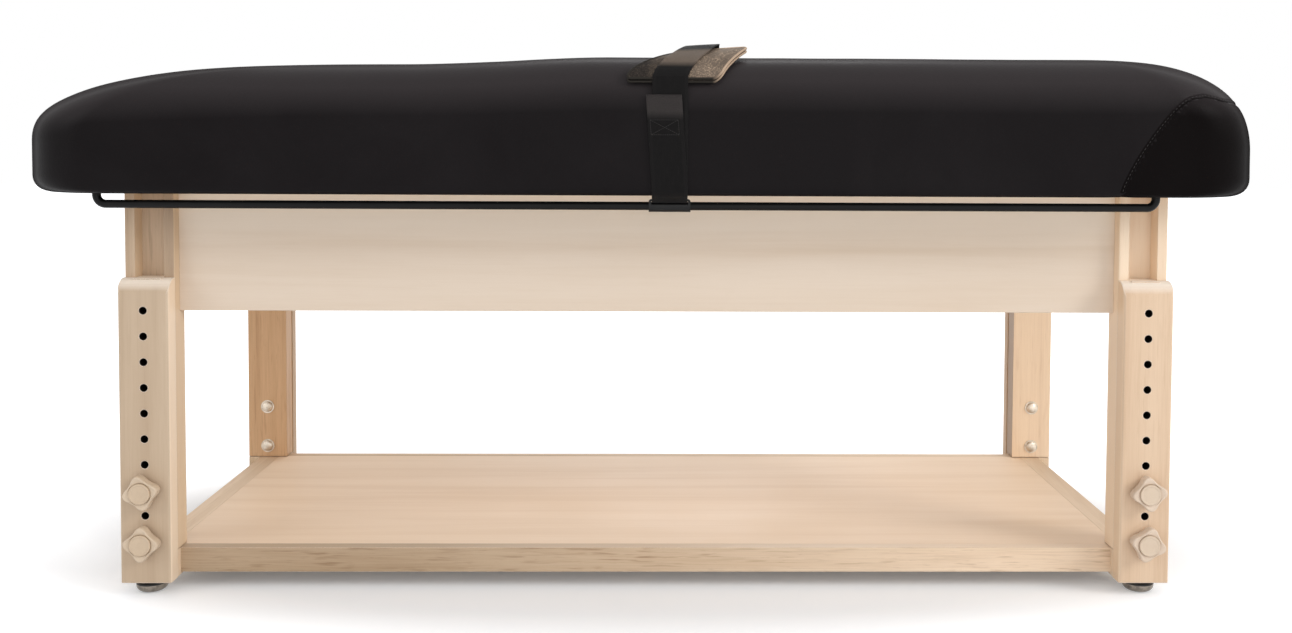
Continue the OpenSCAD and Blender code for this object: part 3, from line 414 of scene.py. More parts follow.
# The front rail has painted light on its top faces and painted shade towards its left end.
dress(wood("front_rail", "X", (232, 208, 182), (216, 188, 158), (160, 126, 94),
           grain=(0.5, 0.6, 0.3), seed=11.5, painted_top_light=(236, 214, 190), left=(0.6, 0.57, 0.52, 1)),
      "shelf_rail_front")
dress(wood("rear_rail", "X", (226, 202, 174), (212, 184, 152), (170, 134, 100),
           grain=(0.5, 0.5, 0.22), seed=12), "shelf_rail_rear")
dress(wood("side_rail", "Y", (238, 216, 190), (228, 204, 176), (200, 168, 136),
           grain=(0.4, 0.3, 0.22), seed=13), "shelf_rail_left", "shelf_rail_right")
dress(wood("block", "Z", (222, 198, 170), (210, 184, 152), (176, 142, 108), seed=14,
           side=(232, 208, 180)), *at_corners("foot_block"))
dress(wood("brace", "Y", (222, 202, 176), (208, 184, 154), (186, 156, 122), seed=15),
      "deck_braces")
dress(plywood("birch_plywood", (224, 200, 164), (186, 152, 112), 0.3), "deck")
dress(metal("nickel", (150, 142, 132), (96, 90, 84), 0.2, "Z", sleeve_z=11.8),
      *at_corners("foot"), "foot_inserts")
dress(metal("zinc", (224, 212, 196), (186, 174, 158), 0.46, "Y"), "leg_bolts", "bolt_washers")
dress(painted("black_powder_coat", (8, 8, 8), (20, 19, 19), 0.4, 900, 0.06, 0.14),
      "strap_rail_front", "strap_rail_rear")
dress(painted("black_hook_steel", (12, 12, 12), (34, 32, 31), 0.36, 700, 0.08, 0.2),
      "strap_hook_front", "strap_hook_rear")
dress(painted("black_rubber", (16, 16, 16), (34, 33, 33), 0.7, 1100, 0.1, 0.3),
      *at_corners("foot_ring"))
# Painted light and shade: the left knobs take a darker copy of the beige plastic and the right ones a
# lighter, for the light from the right.
star_plastic_lit_by_side = {
    -1: painted("beige_star_painted_shade_left", (206, 186, 162), (182, 160, 136), 0.42, 1300, 0.05),
    1: painted("beige_star_painted_light_right", (214, 194, 174), (192, 170, 148), 0.42, 1300, 0.05),
}
cap_plastic_lit_by_side = {
    -1: painted("beige_cap_painted_shade_left", (200, 178, 152), (176, 152, 126), 0.36, 900, 0.06),
    1: painted("beige_cap_painted_light_right", (208, 188, 166), (186, 164, 140), 0.36, 900, 0.06),
}

PAD_SHADE = (0, 80, (0.14, 0.15, 0.17, 1))
PIPING_SHADE = (96, 112, (0.05, 0.06, 0.07, 1))
# Painted highlight: upper is the lighter tone on the cushion's faces that turn up.
cushion_vinyl = vinyl("black_vinyl", (19, 16, 17), (24, 21, 22), 0.36, 0.05, upper=(48, 44, 45))
# Painted shade: the right end panel is a darker copy of the cushion's vinyl, since it catches little
# reflected light.
shaded_end_vinyl = vinyl("black_vinyl_end_painted_shade", (12, 9, 9), (15, 12, 12), 0.4, 0.02, upper=(36, 32, 33))
pad_vinyl = vinyl("pad_vinyl", (98, 86, 76), (126, 112, 100), 0.58, 0.06, 0.8, (196, 172, 146),
                  PAD_SHADE)
pad_under_vinyl = vinyl("pad_under_vinyl", (44, 39, 36), (60, 54, 49), 0.55, 0.06, 0.8, (110, 98, 88),
                        PAD_SHADE)
piping_vinyl = vinyl("piping_vinyl", (176, 152, 130), (206, 182, 158), 0.5, 0.06, 0.5,
                     shade=PIPING_SHADE)
strap_cloth = webbing_cloth("black_webbing", (8, 7, 7), (24, 22, 22), (68, 63, 62), (128, 113, 100))
thread = painted("thread", (46, 44, 43), (66, 63, 62), 0.7, 2400, 0.1, 0.3)


# Mesh helpers

def piece(name, points, faces, material, uvs=None):
    """A smooth mesh object from points in millimetres. uvs are per point."""
    mesh = bpy.data.meshes.new(name)
    mesh.from_pydata([Vector(p) * MM for p in points], [], faces)
    mesh.update()
    if uvs:
        layer = mesh.uv_layers.new(name="UVMap")
        for loop in mesh.loops:
            layer.data[loop.index].uv = uvs[loop.vertex_index]
    mesh.materials.append(material)
    for polygon in mesh.polygons:
        polygon.use_smooth = True
    made = bpy.data.objects.new(name, mesh)
    scene.collection.objects.link(made)
    return made


def skin(rings, closed=True):
    """Faces that join rings of equally many points."""
    n = len(rings[0])
    return [(k + i, k + (i + 1) % n, k + n + (i + 1) % n, k + n + i)
            for k in range(0, n * (len(rings) - 1), n) for i in range(n if closed else n - 1)]


def shell(name, rings, material, closed=True):
    return piece(name, [p for ring in rings for p in ring], skin(rings, closed), material)


def unit(v):
    size = hypot(*v)
    return [c / size for c in v]


def tube(path, radius, sides=10):
    """Rings of points round a closed path of vectors."""
    rings = []
    for before, middle, after in zip(path[-1:] + path[:-1], path, path[1:] + path[:1]):
        along = (after - before).normalized()
        side = along.cross(Vector((0, 0, 1))).normalized()
        top = side.cross(along).normalized()
        rings.append([middle + radius * (cos(t) * side + sin(t) * top)
                      for t in (2 * pi * k / sides for k in range(sides))])
    return rings


def quarter(steps):
    """Even angles over a quarter turn."""
    return [pi / 2 * i / steps for i in range(steps + 1)]


def smooth_step(t):
    t = min(1, max(0, t))
    return t * t * (3 - 2 * t)


# Upholstered top. An end's roll is given as its reach, height and power.

TOP_LENGTH = 1822
TOP_DEPTH = 762
HALF_L = TOP_LENGTH / 2
HALF_D = TOP_DEPTH / 2
TOP_H = 206
CROWN = 4
CORNER_R = 114.5
END_BOW = 4
SIDE_ROLL = 95
SIDE_ROLL_H = 86
SIDE_LOWER = 14
SIDE_LOWER_X = -420
SIDE_LOWER_RUN = 420
LEFT_ROLL = (420, 124.5, 2.4)
RIGHT_ROLL = (164.5, 137.5, 2.15)
CORNER_GROWTH = 0.02
CORNER_SHARE = 0.85
SIDE_TUCK = 10
END_TUCK = 26
LEFT_SAG = 12.5
SAG_START = -0.025
SAG_END = -0.193
CROWN_REACH = 220
HEM = 45
DECK_IN_END = 34
DECK_IN_SIDE = 13.5
DECK_CORNER_R = 105
DECK_T = 18
COVER_T = 2
INNER_GAP = 0.3
HEM_GAP = 0.15
MIDDLE_LINE = (TOP_LENGTH - 400, 60, 30)
TOP_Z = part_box("cushion_cover")[0][2] / MM
FULL_H = TOP_H - CROWN


def tuck_in(h, r):
    """How far the round lower edge is drawn in at a height."""
    return 0 if h >= r else r - sqrt(r * r - (r - h) * (r - h))


def roll_in(h, reach, reach_h, power):
    """How far the rolled upper edge is drawn in at a height."""
    t = (h - FULL_H + reach_h) / reach_h
    if t <= 0:
        return 0
    return reach * (1 - max(0, 1 - t ** power) ** (1 / power))


def side_in(h, x):
    """How far the long sides are drawn in. Their shoulders begin lower towards the left end."""
    low = smooth_step((SIDE_LOWER_X - x) / SIDE_LOWER_RUN)
    return tuck_in(h, SIDE_TUCK) + roll_in(h, SIDE_ROLL, SIDE_ROLL_H + SIDE_LOWER * low, 2)


def sag_share(x):
    """The share of its height that the top keeps where its left end sags."""
    a, b = SAG_START * TOP_LENGTH, SAG_END * TOP_LENGTH
    return 1 - LEFT_SAG / TOP_H * smooth_step((a - x) / (a - b))


END_STEPS = 44
CORNER_STEPS = 30
LONG_STEPS = 190
LONG_EVEN = 0.65
TUCK_STEPS = 8
FACE_STEPS = 10
ROLL_STEPS = 40
CROWN_STEPS = 14


def round_box(xr, xl, w, rr, rl, ry, bow):
    """A closed plan outline from the middle of the right end round by the rear, with its reaches
    to the right and left, half its depth, the corners' radii and the bow of its ends."""
    ends = [i / END_STEPS for i in range(END_STEPS + 1)]
    turns = quarter(CORNER_STEPS)
    shares = [LONG_EVEN * t + (1 - LONG_EVEN) * t * t
              for t in (i / LONG_STEPS for i in range(LONG_STEPS + 1))]
    rear = [(xr + bow * (1 - t * t), (w - ry) * t) for t in ends[:-1]]
    rear += [(xr - rr + rr * cos(a), w - ry + ry * sin(a)) for a in turns[:-1]]
    rear += [(xr - rr + (rl - xl - xr + rr) * t, w) for t in shares]
    rear += [(rl - xl - rl * sin(a), w - ry + ry * cos(a)) for a in turns[1:]]
    rear += [(-xl - bow * (1 - t * t), (w - ry) * t) for t in (1 - t for t in ends[1:])]
    return rear + [(x, -y) for x, y in reversed(rear[1:-1])]


def top_outline(h, c):
    """The plan outline at a height over the lower face, with the crown closed in by c."""
    level = min(h, FULL_H)
    left, right = (tuck_in(level, END_TUCK) + roll_in(level, *roll)
                   for roll in (LEFT_ROLL, RIGHT_ROLL))
    side = side_in(level, 0)
    closing = c * (HALF_D - SIDE_ROLL - CORNER_R / 2)
    w = HALF_D - side - closing
    points = round_box(
        HALF_L - END_BOW - right - c * CROWN_REACH,
        HALF_L - END_BOW - left - c * CROWN_REACH,
        w, CORNER_R + CORNER_GROWTH * right, CORNER_R + CORNER_GROWTH * left,
        min(CORNER_R + CORNER_GROWTH * (side + closing), CORNER_SHARE * w), END_BOW)
    return [(x, y * (HALF_D - side_in(level, x) - closing) / w) for x, y in points]


def slab_outline(length, depth, r):
    return round_box(length / 2, length / 2, depth / 2, r, r, r, 0)


def top_levels():
    """Each level is its height over the lower face and how far the crown has closed in."""
    shoulder = max(LEFT_ROLL[1], RIGHT_ROLL[1], SIDE_ROLL_H)
    tuck = [(END_TUCK * (1 - cos(a)), 0) for a in quarter(TUCK_STEPS)]
    face = [(END_TUCK + (FULL_H - shoulder - END_TUCK) * i / FACE_STEPS, 0)
            for i in range(1, FACE_STEPS + 1)]
    roll = [(FULL_H - shoulder + shoulder * sin(a), 0) for a in quarter(ROLL_STEPS)[1:]]
    crown = [(FULL_H + CROWN * sin(a), i / CROWN_STEPS)
             for i, a in enumerate(quarter(CROWN_STEPS)) if i]
    return tuck + face + roll + crown


def build_top():
    """The points and faces of the cushion, and the number of its first point that shows."""
    rings = []
    hidden_top = TOP_Z + COVER_T + DECK_T + INNER_GAP
    deck = slab_outline(TOP_LENGTH - 2 * (DECK_IN_END - INNER_GAP),
                        TOP_DEPTH - 2 * (DECK_IN_SIDE - INNER_GAP), DECK_CORNER_R)
    hem = slab_outline(TOP_LENGTH - 2 * (HEM + END_TUCK), TOP_DEPTH - 2 * HEM, CORNER_R - HEM)
    hem_top = TOP_Z + COVER_T - HEM_GAP
    hidden = [(slab_outline(*MIDDLE_LINE), hidden_top), (deck, hidden_top), (deck, hem_top),
              (hem, hem_top), (hem, TOP_Z)]
    for outline, z in hidden:
        rings.append([(x, y, z) for x, y in outline])
    for h, c in top_levels():
        rings.append([(x, y, TOP_Z + h * sag_share(x)) for x, y in top_outline(h, c)])
    n = len(rings[0])
    faces = skin(rings)
    for start, flip in ((0, True), ((len(rings) - 1) * n, False)):
        for i in range(n // 2):
            quad = [start + i, start + i + 1, start + (n - i - 1) % n, start + (n - i) % n]
            quad = [v for k, v in enumerate(quad) if v not in quad[:k]]
            faces.append(tuple(reversed(quad)) if flip else tuple(quad))
    return [Vector(p) for ring in rings for p in ring], faces, len(hidden) * n


# The right end is a separate panel of the cover. Its seam rises along each long side, turns
# over the corner and runs round the end. The rise is given as (x, z).
SEAM_RISE = ((685, 605), (691, 623), (709, 658), (736, 698), (759, 726), (780, 742), (803, 747))
SEAM_CORNER_Z = (748, 741, 739, 743)
SEAM_END_Z = 745
RISE_STEPS = 8
TURN_STEPS = 28
ACROSS_STEPS = 60
LEVEL_STEPS = 12
SIDE_AIM = 600
CORNER_AIM = 400
END_AIM = 1200


def catmull(points, steps):
    """A smooth curve through the points."""
    ends = [points[0]] + list(points) + [points[-1]]
    out = []
    for i in range(1, len(ends) - 2):
        a, b, c, d = (Vector(p) for p in ends[i - 1:i + 3])
        for k in range(steps):
            t = k / steps
            out.append(0.5 * (2 * b + (c - a) * t + (2 * a - 5 * b + 4 * c - d) * t * t
                              + (3 * b - a - 3 * c + d) * t * t * t))
    return out + [Vector(points[-1])]


def seam_path(tree):
    """Places and normals along the seam, found on the surface from outside."""
    aims = []
    for x, z in catmull(SEAM_RISE, RISE_STEPS):
        aims.append((Vector((x, -SIDE_AIM, z)), Vector((0, 1, 0))))
    centre = Vector((HALF_L - CORNER_R, -(HALF_D - CORNER_R), 0))
    for i in range(1, TURN_STEPS):
        a = pi / 2 * i / TURN_STEPS
        t = i / TURN_STEPS * (len(SEAM_CORNER_Z) - 1)
        k = min(int(t), len(SEAM_CORNER_Z) - 2)
        z = SEAM_CORNER_Z[k] + (SEAM_CORNER_Z[k + 1] - SEAM_CORNER_Z[k]) * smooth_step(t - k)
        out = Vector((sin(a), -cos(a), 0))
        aims.append((centre + CORNER_AIM * out + Vector((0, 0, z)), -out))
    for i in range(ACROSS_STEPS + 1):
        y = centre.y * (1 - i / ACROSS_STEPS)
        z = SEAM_CORNER_Z[-1] + (SEAM_END_Z - SEAM_CORNER_Z[-1]) * smooth_step(i / LEVEL_STEPS)
        aims.append((Vector((END_AIM, y, z)), Vector((-1, 0, 0))))
    found = [tree.ray_cast(start, way)[:2] for start, way in aims]
    return found + [(Vector((p.x, -p.y, p.z)), Vector((n.x, -n.y, n.z))) for p, n in found[-2::-1]]


def resample(path, step):
    """The same path with even spacing, as (place, normal, distance along)."""
    out = []
    gone = 0
    due = 0
    for (p, n), (q, m) in zip(path, path[1:]):
        size = (q - p).length
        while due <= gone + size and size > 0:
            t = (due - gone) / size
            out.append((p.lerp(q, t), n.lerp(m, t).normalized(), due))
            due += step
        gone += size
    return out


top_points, top_faces, first_seen = build_top()
top_tree = BVHTree.FromPolygons(top_points, top_faces)
seam = resample(seam_path(top_tree), 1)
seam_finder = KDTree(len(seam))
for number, (place, _, _) in enumerate(seam):
    seam_finder.insert(place, number)
seam_finder.balance()


def seam_side(number):
    """The direction across the seam, towards the end panel."""
    before = seam[max(0, number - 2)][0]
    after = seam[min(len(seam) - 1, number + 2)][0]
    return (after - before).normalized().cross(seam[number][1]).normalized()


SEAM_REACH = 60
SEAM_DIPS = ((1.1, 3.5), (0.6, 15))
PUCKER_H = 0.9
PUCKER_PITCH = 13
PUCKER_FADE = 13
PUCKER_START = 2


def pucker(along):
    """How strongly the end panel gathers at a place along the seam."""
    shift = 2.2 * noise.noise(Vector((along / 40, 3.1, 0)))
    wave = sin(2 * pi * along / PUCKER_PITCH + shift)
    return wave * (0.55 + 0.45 * noise.noise(Vector((along / 55, 0.4, 7))))


def sew(point):
    """Draws the cover in along the seam and gathers the end panel beside it."""
    place, number, distance = seam_finder.find(point)
    if distance > SEAM_REACH:
        return point
    _, normal, along = seam[number]
    across = (point - place).dot(seam_side(number))
    dip = sum(depth * exp(-(across / width) ** 2) for depth, width in SEAM_DIPS)
    lift = 0
    if across > 0:
        fade = exp(-across / PUCKER_FADE) * (1 - exp(-across / PUCKER_START))
        lift = PUCKER_H * pucker(along) * fade
    return point + normal * (lift - dip)


WAVE_H = 0.7
RIPPLE_H = 0.25
WAVE_OUT = 0.5
RIPPLE_SHARE = 0.4
cushion_points = []
for index, point in enumerate(top_points):
    if index >= first_seen:
        point = sew(point)
        wave = noise.noise(Vector((point.x / 210, point.y / 150, point.z / 90)))
        ripple = noise.noise(Vector((point.x / 60, point.y / 60, point.z / 45 + 9)))
        above = smooth_step((point.z - TOP_Z - 12) / 40)
        point = point + Vector((0, 0, 1)) * above * (WAVE_H * wave + RIPPLE_H * ripple)
        point.y += above * copysign(WAVE_OUT, point.y) * (wave + RIPPLE_SHARE * ripple)
    cushion_points.append(point)
cushion = piece("cushion", cushion_points, top_faces, cushion_vinyl)
# The end panel's faces take the darker copy, a painted shade.
cushion.data.materials.append(shaded_end_vinyl)
for polygon in cushion.data.polygons:
    middle = polygon.center / MM
    if middle.x > SEAM_RISE[0][0] - 10:
        near, number, _ = seam_finder.find(middle)
        if (middle - near).dot(seam_side(number)) > 0:
            polygon.material_index = 1
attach(cushion, "upper")
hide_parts("cushion_cover", "foam_core")


# The lapped edge of the top panel along the seam, with its stitches. The lap's section is given
# as (distance across the seam, height).
LAP = ((-7, -0.4), (-6.2, 0), (-4.5, 0.3), (-2.5, 0.42), (-0.9, 0.38), (0, 0), (0.2, -0.7))
LAP_STEP = 2
LAP_SWELL = 0.18
LAP_PITCH = 7
LAP_UP = 0.3
STITCH_STEP = 6
STITCH_BACK = 3.4
STITCH_UP = 0.66

sewn_tree = BVHTree.FromPolygons(cushion_points, top_faces)


def settle(point, normal):
    """The place of a point on the sewn surface, along a normal."""
    place, _, _, _ = sewn_tree.ray_cast(point + normal * 12, -normal, 40)
    return place if place is not None else point


lap_rings = []
for number in range(4, len(seam) - 4, LAP_STEP):
    place, normal, along = seam[number]
    side = seam_side(number)
    swell = 1 + LAP_SWELL * sin(2 * pi * along / LAP_PITCH)
    lap_rings.append([settle(place + side * d, normal) + normal * (LAP_UP + h * swell)
                      for d, h in LAP])
lap = shell("cushion_seam_lap", lap_rings, shaded_end_vinyl, closed=False)


def stitch_piece(name, places, length, width, height, steps=6):
    """Short rounded stitches. Each place is a stitch's middle and its ways along and up."""
    points, faces = [], []
    for at, along, up in places:
        side = along.cross(up).normalized()
        first = len(points)
        for k in range(steps + 1):
            t = k / steps
            w = sqrt(max(0, 1 - (2 * t - 1) ** 2))
            middle = at + along * (length * (t - 0.5))
            for j in range(5):
                a = pi * j / 4
                points.append(middle + side * (width / 2 * w * cos(a))
                              + up * (height * w * sin(a) - 0.05))
        for k in range(steps):
            faces += [(a, a + 1, a + 6, a + 5) for a in range(first + 5 * k, first + 5 * k + 4)]
    return piece(name, points, faces, thread)


seam_places = []
for number in range(8, len(seam) - 8, STITCH_STEP):
    place, normal, _ = seam[number]
    ahead = (seam[number + 2][0] - seam[number - 2][0]).normalized()
    on = settle(place - seam_side(number) * STITCH_BACK, normal) + normal * STITCH_UP
    seam_places.append((on, ahead, normal))
for made in (lap, stitch_piece("cushion_seam_stitches", seam_places, 4.2, 0.8, 0.35)):
    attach(made, "upper")


# Strap. Its path runs in y and z from the front's sewn end to the rear's.

STRAP_T = 1.6
STRAP_X = 36
STRAP_SKEW = 48
REAR_X = STRAP_X + STRAP_SKEW
STRAP_LEAN = 9
STRAP_GAP = 0.8
LOOP_GAP = 0.4
SEWN_UP = 113
SEWN_MORE = 31
ROD_Y = 357.5
ROD_Z = 587
ROD_R = 6
HOOK_GAP = 0.4
HOOK_T = 2.2
HOOK_UP = 10.5
HOOK_BAR_H = 3.5
PAD_W = 136
PAD_L = 76
PAD_T = 4.5
PAD_SKEW = 46
PAD_X = -30
PAD_GAP = 0.8
PAD_SEAM = 0.3
PAD_FRONT_IN = 6.5
PAD_NOSE = 12
PAD_TAIL = 8
STRAP_ARCH = 3
STRAP_LAND = 48
ARCH_START = 0.6
CREST_Z = TOP_Z + TOP_H
LAY = STRAP_GAP + STRAP_T / 2
FLAT_Y = HALF_D - SIDE_ROLL
CROWN_Y = CORNER_R / 2


def surface_z(y):
    """The height of the top's smooth surface where the strap lies."""
    d = abs(y) - FLAT_Y
    if d > 0:
        return CREST_Z - CROWN - SIDE_ROLL_H * (1 - sqrt(max(0, 1 - (d / SIDE_ROLL) ** 2)))
    return CREST_Z - CROWN + CROWN * sin(pi / 2 * min(1, -d / (FLAT_Y - CROWN_Y)))


def heading(a, b):
    """The angle of the inner tangent from circle a to circle b, each (y, z, radius)."""
    v = (b[0] - a[0], b[1] - a[1])
    return degrees(atan2(v[1], v[0]) - asin((b[2] - a[2]) / hypot(*v)))


def on_circle(c, a):
    """The point of a circle where a path that turns round it heads in direction a."""
    a = radians(a)
    return c[0] + c[2] * sin(a), c[1] - c[2] * cos(a)


def arc(c, start, end, step=5):
    way = 1 if c[2] > 0 else -1
    turned = (way * (end - start)) % 360
    n = max(1, ceil(turned / step))
    return [on_circle(c, start + way * turned * i / n) for i in range(n + 1)]


def pad_y(v):
    return PAD_FRONT_IN - HALF_D + PAD_L * v


def pad_under(u, v):
    """The height of the pad's lower face at a place of its plan."""
    return surface_z(pad_y(v)) + PAD_GAP + PAD_NOSE * (1 - v) ** 3 + PAD_TAIL * u * v * v


def pad_top(v):
    return pad_y(v), pad_under(0, v) + 2 * PAD_T + PAD_SEAM


def pad_slope(v):
    """The pad's slope along its middle, in degrees."""
    a, b = pad_top(v - 0.02), pad_top(v + 0.02)
    return degrees(atan2(b[1] - a[1], b[0] - a[0]))


def on_pad(v):
    """Where the middle of the webbing lies on the pad."""
    a = radians(pad_slope(v))
    y, z = pad_top(v)
    arch = STRAP_ARCH * max(0, v - ARCH_START) / (1 - ARCH_START)
    return y - LAY * sin(a), z + LAY * cos(a) + arch


corner = (SIDE_TUCK - HALF_D, TOP_Z + SIDE_TUCK)
bar = (-ROD_Y - ROD_R - HOOK_GAP - HOOK_T / 2, ROD_Z + HOOK_UP - HOOK_BAR_H / 2)
circle_out = (*corner, SIDE_TUCK + LAY + STRAP_T + LOOP_GAP)
circle_bar = (*bar, hypot(HOOK_T, HOOK_BAR_H) / 2 + LOOP_GAP + STRAP_T / 2)
circle_in = (*corner, -SIDE_TUCK - LAY)
to_bar = heading(circle_out, circle_bar)
from_bar = heading(circle_bar, circle_in)
sewn_end = (circle_out[0] - circle_out[2], TOP_Z + SEWN_UP)
sewn_run = [(sewn_end[0], sewn_end[1] + (circle_out[1] - sewn_end[1]) * i / 14)
            for i in range(14)]
end_run = (sewn_run + arc(circle_out, -90, to_bar) + arc(circle_bar, to_bar, from_bar, 9)
           + arc(circle_in, from_bar, 90))
roll_round = SIDE_ROLL_H * SIDE_ROLL_H / SIDE_ROLL
circle_roll = (roll_round - HALF_D, CREST_Z - CROWN - SIDE_ROLL_H, -roll_round - LAY)
circle_nose = (*pad_top(0), -LAY)
to_nose = heading(circle_roll, circle_nose)
rise_run = (arc(circle_roll, 90, to_nose) + arc(circle_nose, to_nose, pad_slope(0), 12))


def rise_y(z):
    """Where the strap's front run stands at a height over the vertical face."""
    for (y, low), (y_next, high) in zip(rise_run, rise_run[1:]):
        if low <= z <= high:
            return y + (y_next - y) * (z - low) / max(1e-6, high - low)
    return rise_run[0][0]


def sewn_y(z):
    """Where the sewn end lies, on the strap's front run."""
    return min(rise_y(z) - STRAP_T - LOOP_GAP, -HALF_D) if z > sewn_end[1] else sewn_end[0]


front_top = sewn_end[1] + SEWN_MORE
front_run = [(sewn_y(z), z) for z in (front_top - SEWN_MORE * i / 6 for i in range(6))] + end_run

pad_shares = [i / 14 for i in range(1, 15)]
pad_run = [on_pad(v) for v in pad_shares]
land_y = pad_run[-1][0] + STRAP_LAND
land_z = surface_z(land_y) + LAY
land_shares = [(i / 9, 1 - smooth_step(i / 9)) for i in range(1, 10)]
land_run = [(pad_run[-1][0] + STRAP_LAND * s, land_z + (pad_run[-1][1] - land_z) * t)
            for s, t in land_shares]
top_run = [(y, surface_z(y) + LAY) for y in
           [land_y + (FLAT_Y - land_y) * i / 22 for i in range(1, 22)]]
shoulder_run = []
for step in range(19):
    a = radians(90 - 5 * step)
    out = unit((cos(a) / SIDE_ROLL, sin(a) / SIDE_ROLL_H))
    shoulder_run.append((FLAT_Y + SIDE_ROLL * cos(a) + LAY * out[0],
                         CREST_Z - CROWN - SIDE_ROLL_H * (1 - sin(a)) + LAY * out[1]))


def edge_lift(v, side):
    """How far the pad's rising left or right tail lifts the strap's edge."""
    u = (STRAP_X - PAD_X + (STRAP_SKEW - PAD_SKEW) * v + side * STRAP_W / 2) / PAD_W
    return PAD_TAIL * min(1, max(0, u)) * v * v


def strap_lean(z):
    """How far the sewn end leans to the left at a height."""
    return STRAP_LEAN * max(0, (z - circle_out[1]) / (front_top - circle_out[1]))


# Each ring is y, z, x of the middle, and the lift of the left and right edges.
strap_rings = [(y, z, STRAP_X - strap_lean(z), 0, 0) for y, z in front_run]
strap_rings += [(y, z, STRAP_X, 0, 0) for y, z in rise_run]
strap_rings += [(y, z, STRAP_X + STRAP_SKEW * v, edge_lift(v, -1), edge_lift(v, 1))
                for v, (y, z) in zip(pad_shares, pad_run)]
strap_rings += [(y, z, REAR_X, edge_lift(1, -1) * t, edge_lift(1, 1) * t)
                for (_, t), (y, z) in zip(land_shares, land_run)]
strap_rings += [(y, z, REAR_X, 0, 0) for y, z in top_run + shoulder_run]
strap_rings += [(-y, z, REAR_X, 0, 0) for y, z in reversed(end_run)]


def strap_section():
    """The webbing's section: a thin band with round edges."""
    half_w, half_t = STRAP_W / 2, STRAP_T / 2
    upper = [(-half_w + half_t + (STRAP_W - STRAP_T) * i / 10, half_t) for i in range(11)]
    right = [(half_w - half_t + half_t * sin(a), half_t * cos(a))
             for a in (pi / 4, pi / 2, 3 * pi / 4)]
    lower = [(x, -t) for x, t in reversed(upper)]
    left = [(-x, -t) for x, t in right]
    return upper + right + lower + left


section = strap_section()
strap_points = []
strap_uvs = []
gone = 0
for i, ring in enumerate(strap_rings):
    a = strap_rings[max(0, i - 1)]
    b = strap_rings[min(len(strap_rings) - 1, i + 1)]
    along = unit((b[0] - a[0], b[1] - a[1]))
    out = (-along[1], along[0])
    if i:
        gone += hypot(ring[0] - strap_rings[i - 1][0], ring[1] - strap_rings[i - 1][1])
    for x, t in section:
        share = x / STRAP_W + 0.5
        lift = ring[3] * (1 - share) + ring[4] * share
        wave = 0.12 * sin(gone / 17 + x / 9)
        strap_points.append((ring[2] + x, ring[0] + out[0] * (t + wave * (t > 0)),
                             ring[1] + out[1] * (t + wave * (t > 0)) + lift))
        strap_uvs.append((x + STRAP_W / 2, gone))
n = len(section)
strap_faces = skin([[0] * n] * len(strap_rings))
strap_faces += [tuple(range(n)), tuple(reversed(range(len(strap_points) - n, len(strap_points))))]
strap = piece("strap_band", strap_points, strap_faces, strap_cloth, uvs=strap_uvs)
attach(strap, "strap")
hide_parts("strap_webbing")

# Box stitching on both sewn ends. Each line is given as (x in half widths, level) of its ends.
BOX_W = 40
BOX_LEVELS = (-26, -5)
BOX_PITCH = 3
BOX_LINES = (((-1, 0), (1, 0)), ((-1, 1), (1, 1)), ((-1, 0), (-1, 1)), ((1, 0), (1, 1)),
             ((-1, 0), (1, 1)), ((-1, 1), (1, 0)))


def box_places():
    """The places of the stitches on the front's and the rear's sewn end."""
    for face, middle in ((-1, STRAP_X), (1, REAR_X)):
        y = face * (HALF_D + LAY + STRAP_T + LOOP_GAP + STRAP_T / 2 + 0.05)
        for line in BOX_LINES:
            (x0, z0), (x1, z1) = ((x * BOX_W / 2, sewn_end[1] + BOX_LEVELS[k]) for x, k in line)
            way = Vector((x1 - x0, 0, z1 - z0))
            count = int(way.length / BOX_PITCH)
            for t in ((k + 0.5) / count for k in range(count)):
                x, z = x0 + (x1 - x0) * t, z0 + (z1 - z0) * t
                lean = STRAP_LEAN * (1 - (sewn_end[1] - z) / (sewn_end[1] - circle_out[1]))
                at = Vector((middle + x - (lean if face < 0 else 0), y, z))
                yield at, way.normalized(), Vector((0, face, 0))


sewn = stitch_piece("strap_box_stitches", box_places(), 2.3, 0.7, 0.3, 4)
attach(sewn, "strap")


# Strap pad: two quilted layers, each with piping round its edge

PAD_CORNER = 9
PAD_EDGE_SHARE = 0.4
PAD_FLAT_SHARE = 0.62
PAD_TAPER = 44
PAD_STEPS_U = 56
PAD_STEPS_V = 34
QUILT_IN = 0.09
QUILT_W = 0.035
QUILT_DIP = 0.5
PAD_UNEVEN = 0.22
PAD_LOW = PAD_T / 2
PAD_HIGH = PAD_T * 1.5 + PAD_SEAM
PIPING = (("lower", PAD_LOW, 1.6), ("upper", PAD_HIGH, 1.8))

# The cloth simulation that lets air swell the pad's skin
HELD_U = 0.05
HELD_V = 0.08
SIM_FRAMES = 20
SKIN = {"mass": 0.0004, "quality": 6, "tension_stiffness": 15, "compression_stiffness": 15,
        "bending_stiffness": 0.02, "use_pressure": True, "uniform_pressure_force": 4}
PAD_SWELL = PAD_T * (1 - PAD_FLAT_SHARE) / 2


def pad_plan(s, t):
    """Maps a square of -1..1 to the pad's plan with round corners, as (u, v)."""
    limit_u = 1 - PAD_CORNER / (PAD_W / 2)
    limit_v = 1 - PAD_CORNER / (PAD_L / 2)
    if abs(s) > limit_u and abs(t) > limit_v:
        a = (abs(s) - limit_u) / (1 - limit_u)
        b = (abs(t) - limit_v) / (1 - limit_v)
        grow = max(a, b) / max(1e-6, hypot(a, b))
        s = copysign(limit_u + a * grow * (1 - limit_u), s)
        t = copysign(limit_v + b * grow * (1 - limit_v), t)
    return (s + 1) / 2, (t + 1) / 2


